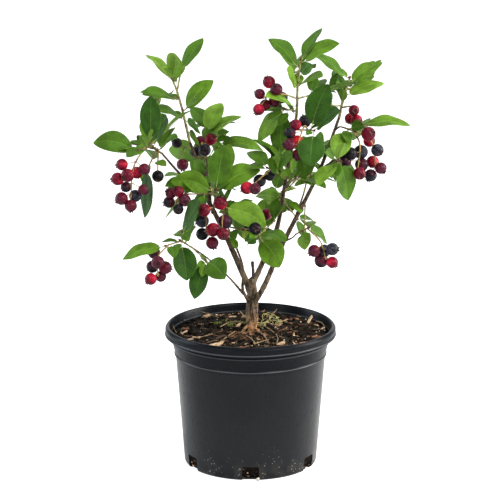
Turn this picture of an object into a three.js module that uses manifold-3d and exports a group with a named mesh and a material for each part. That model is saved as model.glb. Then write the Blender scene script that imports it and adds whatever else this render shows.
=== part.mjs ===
// A young serviceberry bush in fruit, growing in a black plastic nursery pot.
// Millimetres, +Z up. The origin is the centre of the pot's flat underside.
// The bush is laid out as it is seen from the front: a place is [across, up, back], where across and up
// are measured in the upright plane through the pot's axis, and back carries the place along its line of
// sight, away from the viewer, or towards the viewer where it is negative.

import * as THREE from 'three';
import { mergeVertices } from 'three/addons/utils/BufferGeometryUtils.js';
import Module from 'manifold-3d';

const wasm = await Module();
wasm.setup();

// Viewing point that the layout is measured from
const EYE_BACK = 2520;
const EYE_HEIGHT = 880;

// Pot
const POT_HEIGHT = 157;
const LIP_RADIUS = 95;
const LIP_DEPTH = 10.5;
const COLLAR_RADIUS = 88;
const COLLAR_FOOT_RADIUS = 84.4;
const COLLAR_DEPTH = 31;
const WALL_TOP_RADIUS = 83.2;
const WALL_FOOT_RADIUS = 74.2;
const FOOT_RADIUS = 70.5;
const FOOT_ROUND = 5;
const FOOT_TURNS = [30, 60, 90];
const WALL = 1.5;
const FLOOR = 2;
const POT_SIDES = 36;
const NOTCHES = 6;
const NOTCH_WIDTH = 18.5;
const NOTCH_HEIGHT = 16;
const NOTCH_INNER_RADIUS = 68;
const COLLAR_FOOT = POT_HEIGHT - COLLAR_DEPTH;
const LIP_FOOT = POT_HEIGHT - LIP_DEPTH;
const COLLAR_STEP = 1;
// Outline of the ridge under the lip and then of the lip, from the outside in, as what each point stands
// out from the collar or in from the lip's radius, and its height over the lip's foot
const RIDGE_OUTLINE = [[-0.4, -5], [1, -3.6], [1.6, -0.6]];
const LIP_OUTLINE = [[1.2, 0], [0.2, 2], [0, 6.5], [0.8, 9.1], [2.4, 10.5], [4.6, 9.9], [5.6, 7.5]];
const LIP_INNER_DROP = 2;

// Potting mix
const MIX_HEIGHT = 149.7;
const MIX_EDGE_DROP = 2.6;
const MIX_SHOULDER = [2, 4];
const MIX_MIDDLE_SHARE = 0.6;
const MIX_CROWN_RADIUS = 12;
const MIX_FOOT_INSET = 0.5;
const CHIPS = 10;
const CHIP_REACHES = [22, 74];
const CHIP_LENGTHS = [9, 21];
const CHIP_WIDTHS = [3, 5];
const CHIP_THICKNESS = 3;
const CHIP_TILTS = [-0.15, 0.15];
const CHIP_SEEDS = { reach: 3, length: 4, width: 5, tilt: 6, turn: 7 };

// Bush
const GAP = 0.3;
const MERGE_DISTANCE = 1e-3;
const TRUNK_FOOT_RADIUS = 4.6;
const TRUNK_FORK_RADIUS = 4.4;
const TRUNK_BULGE = 2.6;
const TRUNK_BULGE_SKEW = 0.7;
const TRUNK_TOP = 212;
const TRUNK_LEAN = 1;
const TRUNK_SIDES = 10;
const TRUNK_STEP = 8;
const LOBES = 3;
const LOBE_DEPTH = 0.09;
const STUB_ROUTE = [[2, 204, 0], [3, 214, -1], [2, 226, -1]];
const STUB_RADII = [1.8, 1.5];
const LIMB_SIDES = 5;
const LIMB_STEP = 18;
const TWIG_SIDES = 3;
const TWIG_STEP = 25;
const TRUSS_STEP = 15;
const SHOOT_RADIUS = 0.95;
const SHOOT_END_RADIUS = 0.7;
const SUNK = 1;
const STALK_LENGTH = 7;
const STALK_RADIUS = 0.45;
const LEAF_LENGTH = 42;
const LEAF_STRETCH = 1.5;
const LEAF_WIDTH_SHARE = 0.56;
const LEAF_THICKNESS = 0.7;
const LEAF_STATIONS = [[0.28, 1], [0.7, 0.92]];
const LEAF_ARCH = 0.12;
const LEAF_COVER = 3;
const LEAF_FORWARD = 0.62;
const LEAF_OUTWARD = 0.8;
const LEAF_DROOP = 0.15;
const LEAF_ROLL = 1.2;
const LEAF_LENGTHS = [0.74, 1.04];
const SHOOT_LENGTHS = [28, 44];
const SHOOT_OUTWARD = 0.3;
const SHOOT_SPREAD = 0.6;
const SHOOT_BACK = [0.5, 1];
const SHOOT_RISE = [-0.18, 0.42];
const EXTRA_FROM = 0.4;
const EXTRA_LEAVES = 4;
const TRIES = 10;
const BERRY_RADIUS = 5.8;
const BERRY_SIDES = 5;
const BERRY_STALK_RADIUS = 0.6;
const BERRY_REACH = 10.5;
const BERRY_STRETCH = 0.16;
const BERRY_SIZES = [0.88, 1.1];
const BERRY_NECK_SHARE = 0.9;
const BERRY_RINGS = [[1, -0.1], [0.7, 0.75]];
const TRUSS_RADIUS = 0.6;
const TRUSS_BARE_SHARE = 0.2;
const TRUSS_FEET = 9;
const GOLDEN_TURN = THREE.MathUtils.degToRad(137.5);
const UPWARD = new THREE.Vector3(0, 0, 1);
const BACKWARD = new THREE.Vector3(0, 1, 0);

const COLOURS = {
  pot: [0x2b2d30, 0.5],
  mix: [0x2a211b, 0.95],
  bark: [0x66543f, 0.9],
  leaf: [0x4f8426, 0.6],
};

// Each bough is one tapering limb, with its radius at both ends and the places it runs through
const BOUGHS = [
  {
    name: 'bough_left', radii: [3.6, 2.5],
    route: [[0, 195, 0], [-8, 214, -2], [-31, 267, -5], [-46, 297, -4]],
  },
  {
    name: 'bough_left_leader', radii: [2.3, 1.5],
    route: [[-45, 295, -4], [-46, 317, 0], [-55, 335, 5], [-66, 363, 12]],
  },
  {
    name: 'bough_left_outer', radii: [1.9, 1.2],
    route: [[-46, 306, -2], [-59, 314, -10], [-76, 327, -16], [-96, 350, -25]],
  },
  { name: 'bough_left_inner', radii: [1.4, 1.0], route: [[-48, 321, 1], [-47, 334, 26], [-48, 345, 44]] },
  {
    name: 'bough_left_spur', radii: [1.4, 1.0],
    route: [[-42, 284, -5], [-40, 294, -18], [-39, 300, -27]],
  },
  {
    name: 'bough_second', radii: [1.9, 1.1],
    route: [[-1, 182, -2], [-8, 195, -10], [-9, 225, -14], [-20, 256, -16]],
  },
  {
    name: 'bough_low_left', radii: [1.3, 0.9],
    route: [[-8, 192, -9], [-23, 210, -18], [-50, 235, -40], [-60, 242, -46]],
  },
  {
    name: 'bough_middle', radii: [3.2, 1.8],
    route: [[2, 203, 0], [8, 216, 2], [29, 267, 8], [37, 312, 12], [45, 360, 14]],
  },
  { name: 'bough_middle_spur', radii: [1.3, 0.9], route: [[20, 241, 5], [15, 245, -18], [13, 249, -38]] },
  { name: 'bough_middle_back', radii: [1.2, 0.9], route: [[33, 286, 9], [34, 292, 25], [34, 295, 38]] },
  { name: 'bough_middle_side', radii: [1.3, 0.9], route: [[37, 311, 12], [40, 315, -6], [42, 317, -20]] },
  {
    name: 'bough_right', radii: [3.2, 1.6],
    route: [[3, 180, -1], [14, 199, -8], [36, 250, -18], [75, 331, -5], [96, 390, 20]],
  },
  { name: 'bough_right_side', radii: [1.5, 1.0], route: [[75, 331, -5], [84, 338, -22], [92, 343, -32]] },
  { name: 'bough_right_outer', radii: [1.2, 0.9], route: [[91, 376, 13], [97, 380, 6], [101, 379, 2]] },
  {
    name: 'bough_right_low', radii: [1.2, 0.85],
    route: [[37, 252, -18], [46, 256, -26], [50, 260, -31]],
  },
  { name: 'bough_back_left', radii: [1.5, 1.0], route: [[-31, 267, -5], [-37, 278, 20], [-41, 289, 45]] },
  { name: 'bough_back_middle', radii: [1.5, 1.0], route: [[11, 222, 3], [14, 232, 28], [17, 242, 50]] },
  { name: 'bough_back_right', radii: [1.5, 1.0], route: [[51, 283, -15], [54, 293, 15], [58, 305, 45]] },
];

// Each mass of foliage grows from one bough's tip. Its stem and its shoots run to the places given, and
// a shoot leaves the stem at its share. A leaf is [share of its shoot, across and up of its tip, width
// seen]. A truss of fruit is the share it leaves at, the places it runs through, and the across and up of
// its berries. Towards is the share of the leaves that lean to the viewer, and extra counts the shoots
// that the rule places by itself.
const MASSES = [
  {
    name: 'foliage_left_top', bough: 'bough_left_leader', towards: 0.5, extra: 1,
    route: [[-72, 390, 16], [-79, 418, 20], [-84, 431, 24]],
    leaves: [[0.19, -55, 359, 7], [0.36, -54, 372, 8], [0.4, -101, 397, 10], [0.5, -57, 408, 7],
      [0.47, -40, 431, 19], [0.68, -117, 415, 12], [1, -113, 459, 10], [1, -81, 460, 20]],
    shoots: [{ from: 0.8, to: [-75, 441, 28], leaves: [[1, -51, 477, 14]] }],
  },
  {
    name: 'foliage_left_outer', bough: 'bough_left_outer', towards: 0.7, extra: 2,
    route: [[-105, 356, -36], [-110, 362, -44]],
    leaves: [[0.96, -108, 414, 23], [0.62, -93, 394, 14], [0.3, -79, 367, 5], [0.25, -83, 379, 9]],
    shoots: [
      { from: 0.71, to: [-122, 354, -60], leaves: [[0.4, -135, 346, 11], [1, -171, 362, 23]],
        trusses: [{ from: 0.6, route: [[-127, 336, -64], [-131, 300, -68]],
          berries: [[-140, 338], [-145, 322], [-134, 326], [-124, 329], [-116, 333], [-136, 313], [-117, 310],
            [-126, 303], [-141, 300], [-131, 292]] }] },
      { from: 0.41, to: [-112, 334, -50], leaves: [[0.6, -92, 336, 8], [1, -116, 278, 14]] },
    ],
    trusses: [{ from: 0.3, route: [[-101, 336, -34], [-101, 328, -34]], berries: [[-101, 325]] }],
  },
  {
    name: 'foliage_left_inner', bough: 'bough_left_inner', towards: 0.2, extra: 1,
    route: [[-49, 372, 60]],
    leaves: [[1, -31, 406, 20], [0.9, -9, 391, 11]],
    shoots: [
      { from: 0.8, to: [-37, 363, 72], leaves: [[0.6, -23, 375, 8], [1, 14, 353, 14]] },
      { from: 0.25, to: [-56, 343, 58], leaves: [[1, -89, 355, 24]],
        trusses: [{ from: 0.8, route: [[-70, 358, 54], [-77, 347, 50]],
          berries: [[-80, 362], [-74, 338]] }] },
    ],
    trusses: [{ from: 0.6, route: [[-53, 362, 46], [-52, 352, 38]],
      berries: [[-43, 366], [-60, 352], [-50, 354], [-54, 363]] }],
  },
  {
    name: 'foliage_left_middle', bough: 'bough_left_spur', towards: 0.5, extra: 2,
    route: [[-38, 310, -38]],
    leaves: [[1, -29, 360, 26], [1, 11, 332, 23], [0.8, -87, 319, 24]],
    shoots: [{ from: 0.55, to: [-70, 305, -45], leaves: [[1, -96, 274, 5]],
      trusses: [{ from: 0.9, route: [[-80, 300, -47], [-80, 284, -50]],
        berries: [[-87, 306], [-89, 296], [-79, 308], [-72, 298], [-79, 288]] }] }],
  },
  {
    name: 'foliage_left_low', bough: 'bough_low_left', towards: 0.7, extra: 1,
    route: [[-77, 253, -60]],
    leaves: [[1, -70, 207, 26]],
    shoots: [
      { from: 0.88, to: [-75, 262, -68], leaves: [[1, -55, 297, 15], [1, -56, 289, 10]] },
      { from: 0.93, to: [-93, 247, -76], leaves: [[1, -141, 231, 14]],
        trusses: [{ from: 0.8, route: [[-102, 234, -80], [-102, 212, -84]],
          berries: [[-106, 239], [-108, 223], [-102, 228], [-94, 222], [-110, 209], [-99, 212]] }] },
      { from: 0.2, to: [-49, 230, -62], leaves: [[1, -62, 186, 20], [0.9, -28, 209, 25]] },
    ],
  },
  {
    name: 'foliage_centre', bough: 'bough_second', towards: 0.8, extra: 2,
    route: [[-27, 274, -30], [-31, 293, -44]],
    leaves: [[1, 17, 268, 27], [0.15, -16, 243, 8]],
    shoots: [{ from: 0.34, to: [-9, 265, -36], leaves: [[0.8, -1, 253, 10]],
      trusses: [{ from: 0.9, route: [[3, 266, -40]], berries: [[-2, 269], [5, 266]] }] }],
    trusses: [
      { from: 0.9, route: [[-46, 288, -52], [-49, 260, -56]],
        berries: [[-51, 287], [-53, 275], [-41, 265], [-53, 260], [-42, 250]] },
      { from: 0.75, route: [[-31, 276, -56], [-31, 262, -58]],
        berries: [[-33, 295], [-28, 274], [-30, 260]] },
    ],
  },
  {
    name: 'foliage_middle_low', bough: 'bough_middle_spur', towards: 0.7, extra: 1,
    route: [[7, 263, -52]],
    leaves: [[1, 39, 251, 13], [0.6, 32, 222, 28], [0.7, -3, 249, 13]],
  },
  {
    name: 'foliage_middle_back', bough: 'bough_middle_back', towards: 0.1, extra: 2,
    route: [[34, 307, 62]],
    leaves: [[0.3, 5, 302, 14], [1, 21, 311, 4], [1, 52, 311, 4]],
    shoots: [{ from: 0.35, to: [51, 278, 58],
      leaves: [[0.6, 24, 286, 11], [0.85, 42, 294, 10], [1, 70, 274, 5], [1, 57, 291, 7]] }],
    trusses: [{ from: 0.4, route: [[17, 284, 46]], berries: [[17, 282]] }],
  },
  {
    name: 'foliage_middle_side', bough: 'bough_middle_side', towards: 0.6, extra: 2,
    route: [[49, 323, -32]],
    leaves: [[0.3, 34, 331, 13], [0.95, 70, 342, 21], [0.8, 82, 311, 5]],
    shoots: [{ from: 0.5, to: [19, 334, -44],
      leaves: [[0.5, 18, 342, 11], [1, -3, 352, 15], [0.7, 46, 349, 11]],
      trusses: [{ from: 0.9, route: [[10, 322, -46], [1, 314, -50]],
        berries: [[21, 326], [10, 320], [5, 311], [-4, 312]] }] }],
  },
  {
    name: 'foliage_middle_top', bough: 'bough_middle', towards: 0.5, extra: 2,
    route: [[50, 395, 6], [51, 426, 0], [54, 453, -6]],
    leaves: [[0.22, 22, 345, 16], [0.45, 16, 413, 10], [0.65, 39, 443, 9], [0.72, 78, 435, 9],
      [0.8, 66, 449, 15], [0.9, 19, 476, 16], [1, 77, 488, 11], [0.96, 96, 471, 15]],
    shoots: [
      { from: 0.4, to: [37, 400, -6], leaves: [[1, 8, 364, 17], [1, 12, 399, 10]] },
      { from: 0.18, to: [69, 376, -40],
        leaves: [[0.8, 84, 427, 28], [1, 65, 336, 29], [1, 97, 397, 13]],
        trusses: [{ from: 0.7, route: [[58, 380, -46], [50, 356, -50]],
          berries: [[49, 382], [59, 386], [43, 373], [51, 364], [42, 360], [60, 360], [51, 349]] }] },
    ],
    trusses: [{ from: 0.55, route: [[32, 416, -10], [13, 411, -16]],
      berries: [[20, 429], [10, 416], [28, 421], [16, 404], [26, 408], [9, 399], [34, 412]] }],
  },
  {
    name: 'foliage_right_top', bough: 'bough_right', towards: 0.4, extra: 1,
    route: [[100, 409, 28], [107, 433, 36]],
    leaves: [[0.45, 91, 442, 15], [0.35, 92, 431, 8], [0.55, 144, 428, 15], [0.85, 142, 451, 16],
      [1, 65, 461, 11]],
    shoots: [{ from: 0.3, to: [88, 403, 12], leaves: [[0.8, 79, 417, 11], [1, 77, 396, 11]] }],
    trusses: [{ from: 0.25, route: [[110, 402, 18], [114, 394, 14]],
      berries: [[112, 398], [108, 389], [115, 387]] }],
  },
  {
    name: 'foliage_right_outer', bough: 'bough_right_outer', towards: 0.6, extra: 1,
    route: [[113, 375, -8]],
    leaves: [[0.35, 93, 345, 23], [0.3, 123, 380, 12]],
    shoots: [{ from: 0.5, to: [119, 383, 4], leaves: [[1, 174, 381, 12]] }],
    trusses: [
      { from: 1, route: [[119, 360, -14], [116, 328, -18]],
        berries: [[109, 350], [120, 352], [102, 342], [121, 338], [119, 328]] },
      { from: 0.9, route: [[131, 364, -6], [137, 330, -8]],
        berries: [[128, 372], [129, 364], [138, 354], [133, 341], [142, 334], [131, 326]] },
    ],
  },
  {
    name: 'foliage_right_side', bough: 'bough_right_side', towards: 0.6, extra: 2,
    route: [[98, 342, -42]],
    leaves: [[1, 107, 298, 22], [0.7, 73, 314, 15], [0.5, 81, 352, 10]],
  },
  {
    name: 'foliage_right_low', bough: 'bough_right_low', towards: 0.7, extra: 1,
    route: [[63, 267, -42]],
    leaves: [[0.4, 60, 242, 16], [1, 84, 250, 10]],
    trusses: [{ from: 1, route: [[77, 251, -46], [83, 231, -48]],
      berries: [[70, 241], [81, 241], [90, 243], [78, 230], [90, 228]] }],
  },
  {
    name: 'foliage_back_left', bough: 'bough_back_left', towards: 0, extra: 3,
    route: [[-52, 312, 72], [-60, 332, 90]],
  },
  {
    name: 'foliage_back_middle', bough: 'bough_back_middle', towards: 0, extra: 3,
    route: [[16, 262, 78], [10, 282, 92]],
  },
  {
    name: 'foliage_back_right', bough: 'bough_back_right', towards: 0, extra: 3,
    route: [[64, 330, 72], [70, 350, 90]],
  },
];

// What each repeatable draw of a seed decides, as the first place of its numbers in the order
const DRAW = { across: 1, back: 2, rise: 3, shoot: 4, turn: 31, roll: 40, berry: 80, leaf: 160 };

// A repeatable number between 0 and 1 for each seed and each place in its order
function chance(seed, order) {
  const wave = Math.sin(seed * 12.9898 + order * 78.233) * 43758.5453;
  return wave - Math.floor(wave);
}

function between([low, high], share) {
  return low + (high - low) * share;
}

// The point at a place of the layout
function pointAt([across, up, back]) {
  const stretch = 1 + back / EYE_BACK;
  return new THREE.Vector3(across * stretch, back, EYE_HEIGHT + (up - EYE_HEIGHT) * stretch);
}

// The place of a point in the layout
function placeOf(point) {
  const stretch = 1 + point.y / EYE_BACK;
  return [point.x / stretch, EYE_HEIGHT + (point.z - EYE_HEIGHT) / stretch, point.y];
}

function solidFrom(vertices, triangles) {
  const mesh = new wasm.Mesh({
    numProp: 3,
    vertProperties: new Float32Array(vertices),
    triVerts: new Uint32Array(triangles),
  });
  return new wasm.Manifold(mesh);
}

function solidFromGeometry(geometry) {
  geometry.deleteAttribute('normal');
  geometry.deleteAttribute('uv');
  const merged = mergeVertices(geometry, MERGE_DISTANCE);
  return solidFrom(merged.attributes.position.array, merged.index.array);
}

function geometryFrom(solid) {
  const mesh = solid.getMesh();
  const geometry = new THREE.BufferGeometry();
  geometry.setAttribute('position', new THREE.BufferAttribute(mesh.vertProperties, 3));
  geometry.setIndex(new THREE.BufferAttribute(mesh.triVerts, 1));
  geometry.computeVertexNormals();
  return geometry;
}

function largestOf(bodies) {
  return bodies.reduce((best, body) => (body.volume() > best.volume() ? body : best));
}

// The largest of a solid's separate bodies, which leaves out scraps and sealed hollows. It is taken again
// once points that almost meet are joined, as that can part a body at a joint too thin to hold.
function mainBody(solid) {
  const body = largestOf(solid.decompose());
  return largestOf(solidFromGeometry(geometryFrom(body)).decompose());
}

// Rings of points, each closed on itself, skinned into one closed solid. A ring of one point is a tip.
function skin(rings) {
  const vertices = [];
  const triangles = [];
  const starts = rings.map((ring) => {
    const start = vertices.length / 3;
    ring.forEach((point) => vertices.push(point.x, point.y, point.z));
    return start;
  });
  const sides = rings[0].length;
  for (let i = 1; i < sides - 1; i++) {
    triangles.push(starts[0], starts[0] + i + 1, starts[0] + i);
  }
  for (let r = 1; r < rings.length; r++) {
    const low = starts[r - 1];
    const high = starts[r];
    for (let i = 0; i < sides; i++) {
      const next = (i + 1) % sides;
      if (rings[r].length === 1) {
        triangles.push(low + i, low + next, high);
      } else {
        triangles.push(low + i, low + next, high + next, low + i, high + next, high + i);
      }
    }
  }
  const last = rings[rings.length - 1];
  const end = starts[rings.length - 1];
  for (let i = 1; i < last.length - 1; i++) {
    triangles.push(end, end + i, end + i + 1);
  }
  return solidFrom(vertices, triangles);
}

// Points spaced evenly along a smooth curve through the points given
function evenPoints(points, step) {
  const curve = new THREE.CatmullRomCurve3(points, false, 'centripetal');
  const steps = Math.max(1, Math.round(curve.getLength() / step));
  return curve.getSpacedPoints(steps);
}

// The point and the heading at a share of a path of even straight steps
function along(path, share) {
  const last = path.length - 1;
  const step = Math.min(last - 1, Math.floor(share * last));
  const heading = path[step + 1].clone().sub(path[step]);
  const point = path[step].clone().addScaledVector(heading, share * last - step);
  return { point, heading: heading.normalize() };
}

// The point a leaf, shoot or berry is rooted at, sunk in from the end of the path that it grows from
function rootOn(path, share) {
  const length = (path.length - 1) * path[0].distanceTo(path[1]);
  return along(path, Math.min(share, 1 - SUNK / length)).point;
}

// A tapering limb along a path, with its radius given at each share of its length
function limbSolid(path, radiusAt, sides) {
  const last = path.length - 1;
  const whole = path[last].clone().sub(path[0]).normalize();
  const level = new THREE.Vector3().crossVectors(whole, Math.abs(whole.y) < 0.9 ? BACKWARD : UPWARD);
  const rings = path.map((centre, i) => {
    const heading = path[Math.min(last, i + 1)].clone().sub(path[Math.max(0, i - 1)]).normalize();
    const one = level.clone().addScaledVector(heading, -level.dot(heading)).normalize();
    const other = new THREE.Vector3().crossVectors(heading, one);
    return Array.from({ length: sides }, (_, side) => {
      const turn = (2 * Math.PI * side) / sides;
      const offset = one.clone().multiplyScalar(Math.cos(turn)).addScaledVector(other, Math.sin(turn));
      return offset.multiplyScalar(radiusAt(i / last, turn)).add(centre);
    });
  });
  return skin(rings);
}

function taper(from, to, extra = 0) {
  return (share) => from + (to - from) * share + extra;
}

// Pot

function potSolid() {
  const footRound = FOOT_TURNS.map((turn) => {
    const angle = THREE.MathUtils.degToRad(turn);
    const out = (WALL_FOOT_RADIUS - FOOT_RADIUS) * Math.sin(angle);
    return [FOOT_RADIUS + out, FOOT_ROUND * (1 - Math.cos(angle))];
  });
  const profile = [
    [0, 0],
    [FOOT_RADIUS, 0],
    ...footRound,
    [WALL_TOP_RADIUS, COLLAR_FOOT - COLLAR_STEP],
    [COLLAR_FOOT_RADIUS, COLLAR_FOOT],
    ...RIDGE_OUTLINE.map(([out, up]) => [COLLAR_RADIUS + out, LIP_FOOT + up]),
    ...LIP_OUTLINE.map(([inset, up]) => [LIP_RADIUS - inset, LIP_FOOT + up]),
    [COLLAR_RADIUS - WALL, LIP_FOOT - LIP_INNER_DROP],
    [COLLAR_FOOT_RADIUS - WALL, COLLAR_FOOT],
    [WALL_TOP_RADIUS - WALL, COLLAR_FOOT - 2 * COLLAR_STEP],
    [WALL_FOOT_RADIUS - WALL, FOOT_ROUND + WALL],
    [FOOT_RADIUS - WALL, FLOOR],
    [0, FLOOR],
  ];
  const points = profile.map(([radius, height]) => new THREE.Vector2(radius, height));
  const lathe = new THREE.LatheGeometry(points, POT_SIDES);
  lathe.rotateX(Math.PI / 2);
  let pot = solidFromGeometry(lathe);
  for (let i = 0; i < NOTCHES; i++) {
    const depth = LIP_RADIUS - NOTCH_INNER_RADIUS;
    const notch = new THREE.BoxGeometry(NOTCH_WIDTH, depth, NOTCH_HEIGHT + 1);
    notch.translate(0, -NOTCH_INNER_RADIUS - depth / 2, (NOTCH_HEIGHT - 1) / 2);
    notch.rotateZ((2 * Math.PI * i) / NOTCHES);
    pot = pot.subtract(solidFromGeometry(notch));
  }
  return pot;
}

// Potting mix, with the larger chips of bark that stand out of it

function mixSolid() {
  const edge = MIX_HEIGHT - MIX_EDGE_DROP;
  const inset = WALL + GAP;
  const [shoulderInset, shoulderDrop] = MIX_SHOULDER;
  const profile = [
    [0, FLOOR + GAP],
    [FOOT_RADIUS - inset - MIX_FOOT_INSET, FLOOR + GAP],
    [WALL_FOOT_RADIUS - inset, FOOT_ROUND + WALL + MIX_FOOT_INSET],
    [WALL_TOP_RADIUS - inset, COLLAR_FOOT - 2 * COLLAR_STEP],
    [COLLAR_FOOT_RADIUS - inset, COLLAR_FOOT + MIX_FOOT_INSET],
    [COLLAR_RADIUS - inset - MIX_FOOT_INSET, edge - shoulderDrop],
    [COLLAR_RADIUS - inset - shoulderInset, edge],
    [COLLAR_RADIUS * MIX_MIDDLE_SHARE, edge + MIX_EDGE_DROP / 2],
    [MIX_CROWN_RADIUS, MIX_HEIGHT],
    [0, MIX_HEIGHT],
  ];
  const points = profile.map(([radius, height]) => new THREE.Vector2(radius, height));
  const lathe = new THREE.LatheGeometry(points, POT_SIDES / 2);
  lathe.rotateX(Math.PI / 2);
  let mix = solidFromGeometry(lathe);
  for (let i = 0; i < CHIPS; i++) {
    const reach = between(CHIP_REACHES, Math.sqrt(chance(CHIP_SEEDS.reach, i)));
    const length = between(CHIP_LENGTHS, chance(CHIP_SEEDS.length, i));
    const width = between(CHIP_WIDTHS, chance(CHIP_SEEDS.width, i));
    const chip = new THREE.BoxGeometry(length, width, CHIP_THICKNESS);
    chip.rotateY(between(CHIP_TILTS, chance(CHIP_SEEDS.tilt, i)));
    chip.rotateZ(2 * Math.PI * chance(CHIP_SEEDS.turn, i));
    const turn = GOLDEN_TURN * i;
    const drop = MIX_EDGE_DROP * (reach / COLLAR_RADIUS);
    chip.translate(reach * Math.cos(turn), reach * Math.sin(turn), MIX_HEIGHT - drop);
    mix = mix.add(solidFromGeometry(chip));
  }
  return mix;
}

// Trunk, from its flat cut on the potting mix up to the fork, with a dead stub above the fork

function trunkSolid(extra = 0) {
  const foot = new THREE.Vector3(TRUNK_LEAN, 0, MIX_HEIGHT + GAP);
  const fork = new THREE.Vector3(2 * TRUNK_LEAN, 0, TRUNK_TOP);
  const path = evenPoints([foot, fork], TRUNK_STEP);
  const radiusAt = (share, turn) => {
    const stock = between([TRUNK_FOOT_RADIUS, TRUNK_FORK_RADIUS], share);
    const bulge = TRUNK_BULGE * Math.sin(Math.PI * share ** TRUNK_BULGE_SKEW);
    const lobes = 1 + LOBE_DEPTH * (1 - share) * Math.cos(LOBES * turn);
    return (stock + bulge) * lobes + extra;
  };
  const stub = evenPoints(STUB_ROUTE.map(pointAt), TRUNK_STEP);
  const body = limbSolid(path, radiusAt, TRUNK_SIDES);
  return body.add(limbSolid(stub, taper(...STUB_RADII, extra), LIMB_SIDES));
}

// Leaves, shoots and fruit

// The rings of a leaf from its stalk's root to the tip: three-sided, flat above and ribbed below
function leafRings({ root, heading, face, length, width }, extra) {
  const side = new THREE.Vector3().crossVectors(face, heading).normalize();
  const lift = UPWARD.clone().addScaledVector(heading, -heading.z);
  const ring = (reach, halfWidth, depth, rise) => {
    const centre = root.clone().addScaledVector(heading, reach).addScaledVector(lift, rise);
    return [
      centre.clone().addScaledVector(side, halfWidth).addScaledVector(face, extra),
      centre.clone().addScaledVector(side, -halfWidth).addScaledVector(face, extra),
      centre.clone().addScaledVector(face, -depth - extra),
    ];
  };
  const stations = LEAF_STATIONS.map(([share, fullness]) => {
    const rise = length * LEAF_ARCH * 4 * share * (1 - share);
    return ring(STALK_LENGTH + length * share, (width / 2) * fullness + extra, LEAF_THICKNESS, rise);
  });
  return [
    ring(-STALK_RADIUS / 2, STALK_RADIUS / 2 + extra, STALK_RADIUS / 2, 0),
    ring(STALK_LENGTH, STALK_RADIUS + extra, STALK_RADIUS, 0),
    ...stations,
    [root.clone().addScaledVector(heading, STALK_LENGTH + length + extra)],
  ];
}

// A leaf that shows from the front with its tip and width as given. What the view foreshortens tells
// how far it leans towards the viewer or away, and how far it is turned about its midrib.
function leafSeen(root, [, across, up, seenWidth], sign) {
  const [rootAcross, rootUp, rootBack] = placeOf(root);
  const seen = Math.hypot(across - rootAcross, up - rootUp);
  const reach = Math.max(seen, Math.min(LEAF_LENGTH + STALK_LENGTH, LEAF_STRETCH * seen));
  const lean = sign * Math.sqrt(reach * reach - seen * seen);
  const heading = pointAt([across, up, rootBack + lean]).sub(root);
  const length = heading.length() - STALK_LENGTH;
  const width = Math.max(length * LEAF_WIDTH_SHARE, seenWidth);
  heading.normalize();
  const facing = new THREE.Vector3(0, -EYE_BACK, EYE_HEIGHT).sub(root).normalize();
  facing.addScaledVector(heading, -facing.dot(heading)).normalize();
  const turn = Math.acos(seenWidth / width);
  const one = facing.clone().applyAxisAngle(heading, turn);
  const other = facing.clone().applyAxisAngle(heading, -turn);
  return { root, heading, face: one.z > other.z ? one : other, length, width };
}

// A leaf placed by the rule alone, set round its shoot by the golden turn with its face to the sky
function leafByRule(root, shoot, seed, order) {
  const outward = new THREE.Vector3().crossVectors(shoot, UPWARD).normalize();
  outward.applyAxisAngle(shoot, GOLDEN_TURN * order + 2 * Math.PI * chance(seed, DRAW.turn));
  const heading = shoot.clone().multiplyScalar(LEAF_FORWARD).addScaledVector(outward, LEAF_OUTWARD);
  heading.z -= LEAF_DROOP;
  heading.normalize();
  const face = UPWARD.clone().addScaledVector(heading, -heading.z).normalize();
  face.applyAxisAngle(heading, LEAF_ROLL * (chance(seed, DRAW.roll + order) - 0.5));
  const length = LEAF_LENGTH * between(LEAF_LENGTHS, chance(seed, DRAW.leaf + order));
  return { root, heading, face, length, width: length * LEAF_WIDTH_SHARE };
}

// One berry, turned in one piece with its stalk, or without it to see what its fruit would meet
function berrySolid({ foot, outward, reach, radius }, extra = 0, stalked = true) {
  const size = radius + extra;
  const neck = reach - BERRY_NECK_SHARE * radius;
  const stalk = [[0, -BERRY_STALK_RADIUS / 2], [BERRY_STALK_RADIUS / 2, 0], [BERRY_STALK_RADIUS, neck]];
  const profile = [
    ...(stalked ? stalk : [[0, neck]]),
    ...BERRY_RINGS.map(([across, up]) => [across * size, reach + up * size]),
    [0, reach + size],
  ];
  const points = profile.map(([across, along]) => new THREE.Vector2(across, along));
  const lathe = new THREE.LatheGeometry(points, BERRY_SIDES);
  lathe.applyQuaternion(new THREE.Quaternion().setFromUnitVectors(new THREE.Vector3(0, 1, 0), outward));
  lathe.translate(foot.x, foot.y, foot.z);
  return solidFromGeometry(lathe);
}

// A berry that shows from the front at its place. Its stalk leaves the truss a little before the point
// nearest to it in the view, and what the view foreshortens of the stalk tells how far the berry hangs
// before or behind the truss. Each next pair of tries has a longer stalk.
function berrySeen(path, [across, up], seed, order, attempt) {
  const feet = Array.from({ length: TRUSS_FEET }, (_, k) => {
    return rootOn(path, between([TRUSS_BARE_SHARE, 1], k / (TRUSS_FEET - 1)));
  });
  const seenFrom = feet.map((foot) => {
    const [footAcross, footUp] = placeOf(foot);
    return Math.hypot(across - footAcross, up - footUp);
  });
  const leaves = Math.max(0, seenFrom.indexOf(Math.min(...seenFrom)) - 1);
  const foot = feet[leaves];
  const seen = seenFrom[leaves];
  const reach = Math.max(seen, BERRY_REACH) * (1 + BERRY_STRETCH * Math.floor(attempt / 2));
  const sign = (order + attempt) % 2 === 0 ? -1 : 1;
  const stalk = pointAt([across, up, foot.y + sign * Math.sqrt(reach * reach - seen * seen)]).sub(foot);
  const radius = BERRY_RADIUS * between(BERRY_SIZES, chance(seed, DRAW.berry + order));
  return { foot, outward: stalk.clone().normalize(), reach: stalk.length(), radius };
}

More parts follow.
